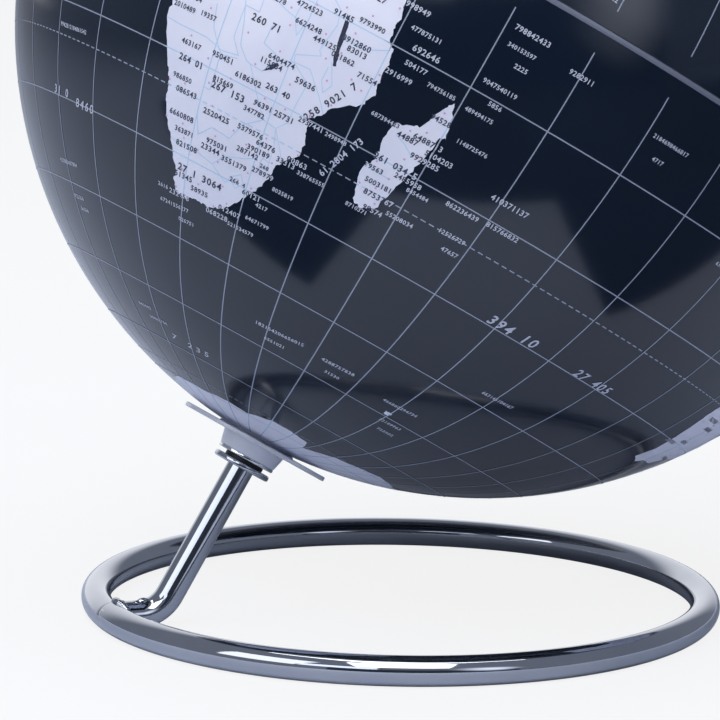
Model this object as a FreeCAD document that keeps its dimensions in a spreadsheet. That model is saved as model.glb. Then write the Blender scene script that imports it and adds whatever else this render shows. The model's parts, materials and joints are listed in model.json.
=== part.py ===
import FreeCAD, Part
import Sketcher

import math
import os

# A desktop globe: a ball that turns on a tilted spindle, on a post that is bent out of a round-rod ring.
# Millimetres, +Z up. The origin is the centre of the ring on the desk, the post stands on the -X side,
# and the axis of the ball leans towards +X.

SIZES = [
    ("ball_diameter", 250, "ball, over its print"),
    ("ball_lift", 32.5, "desk to the lowest point of the ball"),
    ("axis_tilt", 30.3, "degrees between the ball's axis and the vertical"),
    ("ring_diameter", 173, "base ring, outside"),
    ("ring_rod", 8, "diameter of the ring's rod"),
    ("post_rod", 7.5, "diameter of the post's rod"),
    ("post_leg", 13.8, "ring's rod centre to where the post's two straights would meet"),
    ("post_bend", 10, "bend radius of the post, at its centreline"),
    ("weld_leg", 3, "how far the foot weld stands out at the ring's rod centre"),
    ("weld_toe", 0.1, "how far it stands out at its end on the post"),
    ("weld_reach", 2.2, "weld along the post, from the face of the ring"),
    ("weld_crown", 0.6, "weld above the top of the ring"),
    ("shell_wall", 1.6, "wall of the two moulded half balls"),
    ("film_thickness", 0.2, "printed film on the half balls"),
    ("band_width", 1.3, "light strip round the equator"),
    ("band_proud", 0.05, "strip above the print"),
    ("seam_gap", 0.3, "groove between the strip and the northern print"),
    ("hoop_width", 14, "inner hoop that joins the half balls"),
    ("hoop_depth", 2, "inner hoop, from the ball's inside towards the axis"),
    ("pin_diameter", 5, "spindle"),
    ("pin_seat", 12, "spindle inside the post"),
    ("pin_spare", 1.5, "spindle past the lock nut"),
    ("run_gap", 0.05, "clearance of a running fit, on the radius or along the axis"),
    ("fit_gap", 0.05, "clearance of a fixed fit, on the radius"),
    ("bush_wall", 1.65, "wall of both bushes"),
    ("bush_length", 11, "sleeve of each bush"),
    ("bush_flange", 1.8, "flange of the upper bush, beyond its sleeve's radius"),
    ("bush_flange_thickness", 1, "flange of the upper bush, along the axis"),
    ("disc_diameter", 42, "clear disc at the south pole"),
    ("disc_thickness", 1.2, "clear disc"),
    ("disc_boss", 11, "radius of the disc's seat on the ball"),
    ("collar_diameter", 17.8, "frosted collar at the disc"),
    ("collar_end_diameter", 16, "frosted collar at the bright ring"),
    ("collar_length", 3.8, "frosted collar, between the disc and the bright ring"),
    ("spigot_diameter", 14.6, "tube of the collar, through the ball's wall"),
    ("spigot_length", 26.4, "the same tube, from the disc inwards"),
    ("trim_thickness", 1, "bright ring, along the axis"),
    ("backing_radius", 16, "saucer that holds the ball's wall from inside"),
    ("backing_depth", 4, "saucer, along the axis"),
    ("clamp_nut_radius", 12, "ring nut on the tube, across its corners"),
    ("clamp_nut_height", 6, "ring nut, along the axis"),
    ("thrust_diameter", 11, "dark washer that the ball turns on"),
    ("thrust_thickness", 1.05, "dark washer"),
    ("post_disc_diameter", 16, "bright disc on the end of the post"),
    ("post_disc_thickness", 1.6, "bright disc"),
    ("post_disc_round", 0.6, "rounding of the bright disc's rim"),
    ("washer_diameter", 10, "flat washer and spring washer on the spindle"),
    ("washer_thickness", 1, "flat washer"),
    ("spring_thickness", 0.4, "spring washer, its sheet"),
    ("spring_rise", 0.4, "spring washer, the height of its cone"),
    ("lock_nut_radius", 4.6, "lock nut, across its corners"),
    ("lock_nut_height", 4, "lock nut"),
]

doc = FreeCAD.newDocument("Globe")
sheet = doc.addObject("Spreadsheet::Sheet", "Sizes")
for row, (name, value, note) in enumerate(SIZES, 1):
    sheet.set(f"A{row}", name)
    sheet.set(f"B{row}", str(value))
    sheet.setAlias(f"B{row}", name)
    sheet.set(f"C{row}", note)
doc.recompute()


def half(name):
    return f"(Sizes.{name} / 2)"


# Places that follow from the driving sizes, as expressions on the sheet.
BALL_R = half("ball_diameter")
SHELL_R = f"({BALL_R} - Sizes.film_thickness)"
HOLLOW_R = f"({SHELL_R} - Sizes.shell_wall)"
RING_R = "((Sizes.ring_diameter - Sizes.ring_rod) / 2)"
RING_Z = half("ring_rod")
BALL_Z = f"(Sizes.ball_lift + {BALL_R})"
CORNER_X = f"(Sizes.post_leg - {RING_R})"
BALL_X = f"({CORNER_X} + ({BALL_Z} - {RING_Z}) * tan(Sizes.axis_tilt))"
BAND_EDGE = half("band_width")
SEAM = f"({BAND_EDGE} + Sizes.seam_gap / 2)"
PRINT_EDGE = f"({BAND_EDGE} + Sizes.seam_gap)"

# Radii about the spindle, from the spindle outwards.
PIN_R = half("pin_diameter")
BUSH_BORE = f"({PIN_R} + Sizes.run_gap)"
FIXED_BORE = f"({PIN_R} + Sizes.fit_gap)"
BUSH_R = f"({BUSH_BORE} + Sizes.bush_wall)"
BUSH_SEAT = f"({BUSH_R} + Sizes.fit_gap)"
SPIGOT_R = half("spigot_diameter")
SPIGOT_SEAT = f"({SPIGOT_R} + Sizes.fit_gap)"

# Levels along the axis of the ball. 0 is the ball's centre and north is positive, so a stack that runs
# down from the south pole subtracts one thickness after another.
POLE = f"(-{BALL_R})"
DISC_END = f"({POLE} - Sizes.disc_thickness)"
COLLAR_END = f"({DISC_END} - Sizes.collar_length)"
TRIM_END = f"({COLLAR_END} - Sizes.trim_thickness)"
THRUST_TOP = f"({TRIM_END} - Sizes.run_gap)"
THRUST_END = f"({THRUST_TOP} - Sizes.thrust_thickness)"
POST_TOP = f"({THRUST_END} - Sizes.post_disc_thickness)"
PIN_END = f"({POST_TOP} - Sizes.pin_seat)"
BACKING_TOP = f"(Sizes.backing_depth - {HOLLOW_R})"
CLAMP_TOP = f"({BACKING_TOP} + Sizes.clamp_nut_height)"
SPIGOT_TOP = f"({DISC_END} + Sizes.spigot_length)"
BUSH_TOP = f"({SPIGOT_TOP} + Sizes.bush_flange_thickness)"
WASHER_END = f"({BUSH_TOP} + Sizes.run_gap)"
WASHER_TOP = f"({WASHER_END} + Sizes.washer_thickness)"
SPRING_TOP = f"({WASHER_TOP} + Sizes.spring_thickness + Sizes.spring_rise)"
NUT_TOP = f"({SPRING_TOP} + Sizes.lock_nut_height)"
PIN_TOP = f"({NUT_TOP} + Sizes.pin_spare)"


def number(expression):
    return float(sheet.evalExpression(expression))


def set_expressions(thing, **expressions):
    for path, expression in expressions.items():
        thing.setExpression(path.replace("__", "."), expression)


def new_body(name, tilted=False):
    body = doc.addObject("PartDesign::Body", name)
    body.Label = name
    if tilted:
        tilt_on_ball(body)
    return body


def tilt_on_ball(thing):
    # The piece's own Z becomes the axis of the ball, and its origin the ball's centre.
    thing.Placement = FreeCAD.Placement(
        FreeCAD.Vector(number(BALL_X), 0, number(BALL_Z)),
        FreeCAD.Rotation(FreeCAD.Vector(0, 1, 0), number("Sizes.axis_tilt")),
    )
    set_expressions(
        thing,
        Placement__Base__x=BALL_X,
        Placement__Base__z=BALL_Z,
        Placement__Rotation__Angle="Sizes.axis_tilt",
    )


def new_sketch(body, name, role):
    sketch = body.newObject("Sketcher::SketchObject", f"{body.Name}_{name}")
    origin_plane = next(f for f in body.Origin.OriginFeatures if f.Role == role)
    sketch.AttachmentSupport = (origin_plane, [""])
    sketch.MapMode = "FlatFace"
    return sketch


def place_point(sketch, edge, end, across, up):
    # Holds one end of an edge at its distances from the sketch's origin. None leaves that way free.
    axes = (("DistanceX", -2, across), ("DistanceY", -1, up))
    for kind, axis, expression in axes:
        if expression is None:
            continue
        distance = number(expression)
        if abs(distance) < 1e-9:
            sketch.addConstraint(Sketcher.Constraint("PointOnObject", edge, end, axis))
        else:
            index = sketch.addConstraint(Sketcher.Constraint(kind, -1, 1, edge, end, distance))
            sketch.setExpression(f"Constraints[{index}]", expression)


def corner_places(path, side):
    # Numbers for the corners of a path. A corner with one free coordinate lies on the arc beside it.
    places = []
    for index, (across, up, radius) in enumerate(path):
        arc = radius or path[index - 1][2]
        x = None if across is None else number(across)
        y = None if up is None else number(up)
        if x is None:
            x = math.sqrt(number(arc) ** 2 - y**2)
        if y is None:
            y = side * math.sqrt(number(arc) ** 2 - x**2)
        places.append(FreeCAD.Vector(x, y, 0))
    return places


def draw_path(sketch, path, side=1):
    # A closed outline. Each corner is (across, up, radius of the arc about the origin that leads to the
    # next corner, or None for a straight line). side is -1 where free corners lie below the origin.
    places = corner_places(path, side)
    ends = []
    for index, (across, up, radius) in enumerate(path):
        start, stop = places[index], places[(index + 1) % len(path)]
        if radius is None:
            edge = sketch.addGeometry(Part.LineSegment(start, stop))
            first, last = 1, 2
        else:
            angles = [math.atan2(p.y, p.x) for p in (start, stop)]
            circle = Part.Circle(FreeCAD.Vector(0, 0, 0), FreeCAD.Vector(0, 0, 1), number(radius))
            edge = sketch.addGeometry(Part.ArcOfCircle(circle, min(angles), max(angles)))
            first, last = (1, 2) if angles[0] < angles[1] else (2, 1)
            sketch.addConstraint(Sketcher.Constraint("Coincident", edge, 3, -1, 1))
            index_radius = sketch.addConstraint(Sketcher.Constraint("Radius", edge, number(radius)))
            sketch.setExpression(f"Constraints[{index_radius}]", radius)
        ends.append((edge, first, last))
    for index, (across, up, radius) in enumerate(path):
        edge, first, last = ends[index]
        before, _, before_last = ends[index - 1]
        sketch.addConstraint(Sketcher.Constraint("Coincident", before, before_last, edge, first))
        place_point(sketch, edge, first, across, up)


def revolve(body, sketch):
    feature = body.newObject("PartDesign::Revolution", f"{body.Name}_turned")
    feature.Profile = sketch
    feature.ReferenceAxis = (sketch, ["V_Axis"])
    feature.Angle = 360
    sketch.Visibility = False
    body.Tip = feature
    doc.recompute()
    return feature


def turned(name, path, side=1):
    # A piece turned about the axis of the ball from its half section.
    body = new_body(name, tilted=True)
    sketch = new_sketch(body, "section", "XZ_Plane")
    draw_path(sketch, path, side)
    revolve(body, sketch)
    return body


def sleeve(name, inner, outer, low, high):
    # A plain ring or tube between two levels on the axis.
    corners = [(inner, low), (outer, low), (outer, high), (inner, high)]
    return turned(name, [(across, up, None) for across, up in corners])


def round_rims(body, radius, size):
    # Rounds the circular edges of the given radius.
    turned_shape = body.Tip
    rims = [
        f"Edge{index}"
        for index, edge in enumerate(turned_shape.Shape.Edges, 1)
        if isinstance(edge.Curve, Part.Circle) and abs(edge.Curve.Radius - number(radius)) < 1e-6
    ]
    fillet = body.newObject("PartDesign::Fillet", f"{body.Name}_rounded")
    fillet.Base = (turned_shape, rims)
    fillet.Radius = number(size)
    set_expressions(fillet, Radius=size)
    body.Tip = fillet
    doc.recompute()


def hexagon_nut(name, circumradius, bore, low, high):
    body = new_body(name, tilted=True)
    prism = body.newObject("PartDesign::AdditivePrism", f"{name}_hexagon")
    prism.Polygon = 6
    hole = body.newObject("PartDesign::SubtractiveCylinder", f"{name}_bore")
    set_expressions(
        prism,
        Circumradius=circumradius,
        Height=f"{high} - {low}",
        Placement__Base__z=low,
    )
    set_expressions(hole, Radius=bore, Height=f"{high} - {low}", Placement__Base__z=low)
    body.Tip = hole
    return body


def base_ring():
    body = new_body("base_ring")
    sketch = new_sketch(body, "rod", "XZ_Plane")
    rod = Part.Circle(FreeCAD.Vector(number(RING_R), number(RING_Z), 0), FreeCAD.Vector(0, 0, 1), number(RING_Z))
    edge = sketch.addGeometry(rod)
    place_point(sketch, edge, 3, RING_R, RING_Z)
    index = sketch.addConstraint(Sketcher.Constraint("Radius", edge, number(RING_Z)))
    sketch.setExpression(f"Constraints[{index}]", RING_Z)
    revolve(body, sketch)
    return body


def along_axis(level):
    # Where a level on the axis of the ball lies in the frame of the stand.
    return f"({BALL_X} + {level} * sin(Sizes.axis_tilt))", f"({BALL_Z} + {level} * cos(Sizes.axis_tilt))"


def stand_post():
    body = new_body("stand_post")
    # The centreline: a level leg from the ring, an arc, and the straight that lies on the ball's axis.
    route = new_sketch(body, "route", "XZ_Plane")
    top_x, top_z = along_axis(POST_TOP)
    tangent = "(Sizes.post_bend * tan((90 - Sizes.axis_tilt) / 2))"
    leg_end_x = f"({CORNER_X} - {tangent})"
    rise_x = f"({CORNER_X} + {tangent} * sin(Sizes.axis_tilt))"
    rise_z = f"({RING_Z} + {tangent} * cos(Sizes.axis_tilt))"
    start = FreeCAD.Vector(-number(RING_R), number(RING_Z), 0)
    leg_end = FreeCAD.Vector(number(leg_end_x), number(RING_Z), 0)
    rise = FreeCAD.Vector(number(rise_x), number(rise_z), 0)
    top = FreeCAD.Vector(number(top_x), number(top_z), 0)
    centre = FreeCAD.Vector(leg_end.x, leg_end.y + number("Sizes.post_bend"), 0)
    turn = math.radians(90 - number("Sizes.axis_tilt"))
    circle = Part.Circle(centre, FreeCAD.Vector(0, 0, 1), number("Sizes.post_bend"))
    leg = route.addGeometry(Part.LineSegment(start, leg_end))
    bend = route.addGeometry(Part.ArcOfCircle(circle, -math.pi / 2, turn - math.pi / 2))
    straight = route.addGeometry(Part.LineSegment(rise, top))
    route.addConstraint(Sketcher.Constraint("Tangent", leg, 2, bend, 1))
    route.addConstraint(Sketcher.Constraint("Tangent", bend, 2, straight, 1))
    place_point(route, leg, 1, f"(-{RING_R})", RING_Z)
    route.addConstraint(Sketcher.Constraint("Horizontal", leg))
    index = route.addConstraint(Sketcher.Constraint("Radius", bend, number("Sizes.post_bend")))
    route.setExpression(f"Constraints[{index}]", "Sizes.post_bend")
    place_point(route, straight, 2, top_x, top_z)
    index = route.addConstraint(Sketcher.Constraint("Angle", straight, math.radians(90 - number("Sizes.axis_tilt"))))
    route.setExpression(f"Constraints[{index}]", "(90 - Sizes.axis_tilt) * 1 deg")

    section = new_sketch(body, "section", "YZ_Plane")
    set_expressions(section, AttachmentOffset__Base__z=f"(-{RING_R})")
    rod = section.addGeometry(
        Part.Circle(FreeCAD.Vector(0, number(RING_Z), 0), FreeCAD.Vector(0, 0, 1), number(half("post_rod")))
    )
    place_point(section, rod, 3, "0", RING_Z)
    index = section.addConstraint(Sketcher.Constraint("Radius", rod, number(half("post_rod"))))
    section.setExpression(f"Constraints[{index}]", half("post_rod"))
    doc.recompute()
    pipe = body.newObject("PartDesign::AdditivePipe", "stand_post_rod")
    pipe.Profile = section
    pipe.Spine = (route, ["Edge1", "Edge2", "Edge3"])
    body.Tip = pipe
    doc.recompute()

    # The foot is coped to the ring, and the top is drilled for the spindle.
    cope = body.newObject("PartDesign::SubtractiveTorus", "stand_post_cope")
    set_expressions(cope, Radius1=RING_R, Radius2=RING_Z, Placement__Base__z=RING_Z)
    body.Tip = cope
    drill = body.newObject("PartDesign::SubtractiveCylinder", "stand_post_drill")
    low_x, low_z = along_axis(PIN_END)
    drill.Placement.Rotation = FreeCAD.Rotation(FreeCAD.Vector(0, 1, 0), number("Sizes.axis_tilt"))
    set_expressions(
        drill,
        Radius=FIXED_BORE,
        Height="Sizes.pin_seat",
        Placement__Base__x=low_x,
        Placement__Base__z=low_z,
        Placement__Rotation__Angle="Sizes.axis_tilt",
    )
    body.Tip = drill
    doc.recompute()
    return body


def foot_weld():
    # A fillet round the post's foot: a cone about the leg, less the ring and the leg, kept off the desk.
    across_leg = FreeCAD.Rotation(FreeCAD.Vector(0, 1, 0), 90)
    cone = doc.addObject("Part::Cone", "weld_cone")
    cone.Placement.Rotation = across_leg
    set_expressions(
        cone,
        Radius1=f"{half('post_rod')} + Sizes.weld_leg",
        Radius2=f"{half('post_rod')} + Sizes.weld_toe",
        Height=f"{RING_Z} + Sizes.weld_reach",
        Placement__Base__x=f"-{RING_R}",
        Placement__Base__z=RING_Z,
    )
    leg = doc.addObject("Part::Cylinder", "weld_leg_space")
    leg.Placement.Rotation = across_leg
    set_expressions(
        leg,
        Radius=half("post_rod"),
        Height=f"{RING_Z} + Sizes.weld_reach",
        Placement__Base__x=f"-{RING_R}",
        Placement__Base__z=RING_Z,
    )
    ring = doc.addObject("Part::Torus", "weld_ring_space")
    set_expressions(ring, Radius1=RING_R, Radius2=RING_Z, Placement__Base__z=RING_Z)
    room = doc.addObject("Part::Box", "weld_room")
    set_expressions(
        room,
        Length=f"2 * {RING_Z} + Sizes.weld_reach",
        Width="Sizes.post_rod + 4 * Sizes.weld_leg",
        Height="Sizes.ring_rod",
        Placement__Base__x=f"-{RING_R}",
        Placement__Base__y=f"-{half('post_rod')} - 2 * Sizes.weld_leg",
        Placement__Base__z="Sizes.weld_crown",
    )
    bead = doc.addObject("Part::Common", "weld_bead")
    bead.Base, bead.Tool = cone, room
    outside_ring = doc.addObject("Part::Cut", "weld_outside_ring")
    outside_ring.Base, outside_ring.Tool = bead, ring
    weld = doc.addObject("Part::Cut", "foot_weld")
    weld.Base, weld.Tool = outside_ring, leg
    weld.Label = "foot_weld"
    return weld


def half_balls():
    # Two moulded halves that meet at the seam, just north of the equator's strip.
    south = turned(
        "south_shell",
        [
            (SPIGOT_SEAT, None, SHELL_R),
            (None, SEAM, None),
            (None, SEAM, HOLLOW_R),
            (SPIGOT_SEAT, None, None),
        ],
        side=-1,
    )
    north = turned(
        "north_shell",
        [(None, SEAM, SHELL_R), ("0", None, None), ("0", None, HOLLOW_R), (None, SEAM, None)],
    )
    return [south, north]


def prints():
    # The printed films end at the strip in the south and at the groove beside it in the north.
    south = turned(
        "south_map_film",
        [
            (SPIGOT_SEAT, None, BALL_R),
            (None, f"(-{BAND_EDGE})", None),
            (None, f"(-{BAND_EDGE})", SHELL_R),
            (SPIGOT_SEAT, None, None),
        ],
        side=-1,
    )
    north = turned(
        "north_map_film",
        [(None, PRINT_EDGE, BALL_R), ("0", None, None), ("0", None, SHELL_R), (None, PRINT_EDGE, None)],
    )
    return [south, north]


def equator_band():
    band_r = f"({BALL_R} + Sizes.band_proud)"
    return turned(
        "equator_band",
        [
            (None, f"(-{BAND_EDGE})", band_r),
            (None, BAND_EDGE, None),
            (None, BAND_EDGE, SHELL_R),
            (None, f"(-{BAND_EDGE})", None),
        ],
    )


def joining_ring():
    inside = f"({HOLLOW_R} - Sizes.hoop_depth)"
    low, high = f"({SEAM} - Sizes.hoop_width / 2)", f"({SEAM} + Sizes.hoop_width / 2)"
    return turned(
        "joining_ring",
        [(None, low, HOLLOW_R), (None, high, None), (inside, high, None), (inside, low, None)],
    )


def pole_disc():
    # Flat, with a seat round its hole that follows the ball.
    seat, boss, rim = SPIGOT_SEAT, "Sizes.disc_boss", half("disc_diameter")
    return turned(
        "pole_disc",
        [
            (seat, None, BALL_R),
            (boss, None, None),
            (boss, POLE, None),
            (rim, POLE, None),
            (rim, DISC_END, None),
            (seat, DISC_END, None),
        ],
        side=-1,
    )


def hub_collar():
    # The frosted collar, with the tube that carries both bushes.
    outside, end, tube = half("collar_diameter"), half("collar_end_diameter"), SPIGOT_R
    corners = [
        (BUSH_SEAT, COLLAR_END),
        (end, COLLAR_END),
        (outside, DISC_END),
        (tube, DISC_END),
        (tube, SPIGOT_TOP),
        (BUSH_SEAT, SPIGOT_TOP),
    ]
    return turned("hub_collar", [(across, up, None) for across, up in corners])


def backing_plate():
    # A saucer whose face follows the inside of the ball.
    seat, rim = SPIGOT_SEAT, "Sizes.backing_radius"
    return turned(
        "backing_plate",
        [(seat, None, HOLLOW_R), (rim, None, None), (rim, BACKING_TOP, None), (seat, BACKING_TOP, None)],
        side=-1,
    )


def bushes():
    lower = sleeve("lower_bush", BUSH_BORE, BUSH_R, TRIM_END, f"({TRIM_END} + Sizes.bush_length)")
    flange = f"({BUSH_R} + Sizes.bush_flange)"
    sleeve_end = f"({SPIGOT_TOP} - Sizes.bush_length)"
    corners = [
        (BUSH_BORE, sleeve_end),
        (BUSH_R, sleeve_end),
        (BUSH_R, SPIGOT_TOP),
        (flange, SPIGOT_TOP),
        (flange, BUSH_TOP),
        (BUSH_BORE, BUSH_TOP),
    ]
    upper = turned("upper_bush", [(across, up, None) for across, up in corners])
    return [lower, upper]


def post_disc():
    body = sleeve("post_disc", FIXED_BORE, half("post_disc_diameter"), POST_TOP, THRUST_END)
    round_rims(body, half("post_disc_diameter"), "Sizes.post_disc_round")
    return body


def spring_washer():
    # A shallow cone of sheet between the flat washer and the lock nut.
    rim = half("washer_diameter")
    rise, sheet_up = "Sizes.spring_rise", "Sizes.spring_thickness"
    corners = [
        (FIXED_BORE, f"({WASHER_TOP} + {rise})"),
        (rim, WASHER_TOP),
        (rim, f"({WASHER_TOP} + {sheet_up})"),
        (FIXED_BORE, SPRING_TOP),
    ]
    return turned("spring_washer", [(across, up, None) for across, up in corners])


nodes = [
    base_ring(),
    stand_post(),
    foot_weld(),
    post_disc(),
    sleeve("thrust_washer", BUSH_BORE, half("thrust_diameter"), THRUST_END, THRUST_TOP),
    sleeve("axle_pin", "0", PIN_R, PIN_END, PIN_TOP),
    sleeve("axle_washer", FIXED_BORE, half("washer_diameter"), WASHER_END, WASHER_TOP),
    spring_washer(),
    hexagon_nut("lock_nut", "Sizes.lock_nut_radius", FIXED_BORE, SPRING_TOP, NUT_TOP),
    *half_balls(),
    *prints(),
    equator_band(),
    joining_ring(),
    pole_disc(),
    hub_collar(),
    sleeve("collar_trim_ring", BUSH_SEAT, half("collar_end_diameter"), TRIM_END, COLLAR_END),
    *bushes(),
    backing_plate(),
    hexagon_nut("clamp_nut", "Sizes.clamp_nut_radius", SPIGOT_SEAT, BACKING_TOP, CLAMP_TOP),
]
doc.recompute()

for thing in doc.Objects:
    if "Invalid" in thing.State or "Error" in thing.State:
        raise RuntimeError(f"{thing.Label} did not build: {thing.State}")
os.makedirs("parts", exist_ok=True)
for node in nodes:
    shape = node.Shape
    if shape.isNull() or not shape.isValid() or len(shape.Solids) != 1:
        raise RuntimeError(f"{node.Label} is not one valid solid")
for node in nodes:
    node.Shape.exportStep(f"parts/{node.Label}.step")
    print(f"{node.Label}: {node.Shape.Volume:.1f} mm3")
print(f"ball centre: {number(BALL_X):.4f}, 0, {number(BALL_Z):.4f} mm")
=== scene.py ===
import json
import math
import random

import bmesh
import bpy
from mathutils import Matrix, Vector, noise
from mathutils.bvhtree import BVHTree


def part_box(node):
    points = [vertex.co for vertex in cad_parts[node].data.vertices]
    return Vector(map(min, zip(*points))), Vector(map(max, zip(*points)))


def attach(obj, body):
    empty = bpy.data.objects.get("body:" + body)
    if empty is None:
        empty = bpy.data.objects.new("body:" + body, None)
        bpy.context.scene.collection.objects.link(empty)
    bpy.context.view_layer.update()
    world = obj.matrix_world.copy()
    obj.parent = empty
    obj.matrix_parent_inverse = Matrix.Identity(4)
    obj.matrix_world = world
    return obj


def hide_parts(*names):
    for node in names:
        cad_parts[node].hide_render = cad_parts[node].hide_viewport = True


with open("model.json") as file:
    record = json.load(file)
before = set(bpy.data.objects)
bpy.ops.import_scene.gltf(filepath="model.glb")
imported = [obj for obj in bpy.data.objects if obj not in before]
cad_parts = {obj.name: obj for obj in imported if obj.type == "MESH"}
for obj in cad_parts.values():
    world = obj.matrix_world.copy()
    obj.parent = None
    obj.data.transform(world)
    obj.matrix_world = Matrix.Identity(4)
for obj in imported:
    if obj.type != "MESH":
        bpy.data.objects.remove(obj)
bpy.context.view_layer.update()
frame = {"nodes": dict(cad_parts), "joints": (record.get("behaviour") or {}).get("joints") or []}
nodes = frame["nodes"]
print("frame:", len(nodes), "nodes")

mm = 0.001

# The ball's own frame: its third axis runs from the south pole to the north pole.
spinJoint = frame["joints"][0]
axis = Vector(spinJoint["axis"]).normalized()
ballCentre = Vector(spinJoint["pos_m"])
towardsPost = Vector((-axis.z, 0, axis.x))
sideways = axis.cross(towardsPost)
ballFrame = Matrix.Translation(ballCentre) @ Matrix((towardsPost, sideways, axis)).transposed().to_4x4()


def shade(red, green, blue):  # a colour as it is mixed on a chart, 0 to 255
    return tuple((c / 255 / 12.92) if c < 11 else ((c / 255 + 0.055) / 1.055) ** 2.4 for c in (red, green, blue))


# Finishes.
def makeFinishDetail():
    # Smudges, fine scratches and a fine grain, shared by every finish.
    group = bpy.data.node_groups.new("finishDetail", "ShaderNodeTree")
    for name, value in (("Roughness", 0.2), ("Smudge", 0.1), ("Scratch", 0.05), ("Size", 1.0)):
        socket = group.interface.new_socket(name=name, in_out="INPUT", socket_type="NodeSocketFloat")
        socket.default_value = value
    for name in ("Roughness", "Tint", "Height"):
        group.interface.new_socket(name=name, in_out="OUTPUT", socket_type="NodeSocketFloat")
    make, link = group.nodes.new, group.links.new
    entry, leave = make("NodeGroupInput"), make("NodeGroupOutput")
    place = make("ShaderNodeTexCoord")
    sized = make("ShaderNodeVectorMath")
    sized.operation = "SCALE"
    link(place.outputs["Object"], sized.inputs[0])
    link(entry.outputs["Size"], sized.inputs["Scale"])

    smudge = make("ShaderNodeTexNoise")
    smudge.inputs["Scale"].default_value = 32
    smudge.inputs["Detail"].default_value = 4
    link(sized.outputs[0], smudge.inputs["Vector"])

    stretched = make("ShaderNodeMapping")
    stretched.inputs["Rotation"].default_value = (0.4, 0.7, 0.3)
    stretched.inputs["Scale"].default_value = (30, 900, 1600)
    scratch = make("ShaderNodeTexNoise")
    scratch.inputs["Scale"].default_value = 1
    scratch.inputs["Detail"].default_value = 2
    link(sized.outputs[0], stretched.inputs["Vector"])
    link(stretched.outputs[0], scratch.inputs["Vector"])

    grain = make("ShaderNodeTexNoise")
    grain.inputs["Scale"].default_value = 900
    grain.inputs["Detail"].default_value = 3
    link(sized.outputs[0], grain.inputs["Vector"])

    def centred(source, amount):
        low = make("ShaderNodeMath")
        low.operation = "SUBTRACT"
        low.inputs[1].default_value = 0.5
        link(source.outputs["Fac"], low.inputs[0])
        scaled = make("ShaderNodeMath")
        scaled.operation = "MULTIPLY"
        link(low.outputs[0], scaled.inputs[0])
        link(entry.outputs[amount], scaled.inputs[1])
        return scaled

    first = make("ShaderNodeMath")
    second = make("ShaderNodeMath")
    link(entry.outputs["Roughness"], first.inputs[0])
    link(centred(smudge, "Smudge").outputs[0], first.inputs[1])
    link(first.outputs[0], second.inputs[0])
    link(centred(scratch, "Scratch").outputs[0], second.inputs[1])
    second.use_clamp = True
    link(second.outputs[0], leave.inputs["Roughness"])

    mottle = make("ShaderNodeMapRange")
    mottle.inputs["From Min"].default_value = 0.3
    mottle.inputs["From Max"].default_value = 0.7
    link(smudge.outputs["Fac"], mottle.inputs["Value"])
    link(mottle.outputs[0], leave.inputs["Tint"])

    height = make("ShaderNodeMath")
    link(grain.outputs["Fac"], height.inputs[0])
    link(scratch.outputs["Fac"], height.inputs[1])
    link(height.outputs[0], leave.inputs["Height"])
    return group


finishDetail = makeFinishDetail()


def makeFinish(name, look):
    material = bpy.data.materials.new(name)
    material.use_nodes = True
    tree = material.node_tree
    shader = tree.nodes["Principled BSDF"]
    detail = tree.nodes.new("ShaderNodeGroup")
    detail.node_tree = finishDetail
    detail.inputs["Roughness"].default_value = look["roughness"]
    detail.inputs["Smudge"].default_value = look.get("smudge", 0.05)
    detail.inputs["Scratch"].default_value = look.get("scratch", 0.03)
    detail.inputs["Size"].default_value = look.get("size", 1)
    blend = tree.nodes.new("ShaderNodeMix")
    blend.data_type = "RGBA"
    blend.inputs["A"].default_value = (*look["colour"], 1)
    blend.inputs["B"].default_value = (*look.get("second", [c * 0.93 for c in look["colour"]]), 1)
    bump = tree.nodes.new("ShaderNodeBump")
    bump.inputs["Strength"].default_value = look.get("bump", 0.02)
    bump.inputs["Distance"].default_value = 0.0001
    tree.links.new(detail.outputs["Roughness"], shader.inputs["Roughness"])
    tree.links.new(detail.outputs["Tint"], blend.inputs["Factor"])
    tree.links.new(detail.outputs["Height"], bump.inputs["Height"])
    tree.links.new(bump.outputs["Normal"], shader.inputs["Normal"])
    tree.links.new(blend.outputs["Result"], shader.inputs["Base Color"])
    for socket, value in look.get("set", {}).items():
        shader.inputs[socket].default_value = value
    return material


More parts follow.
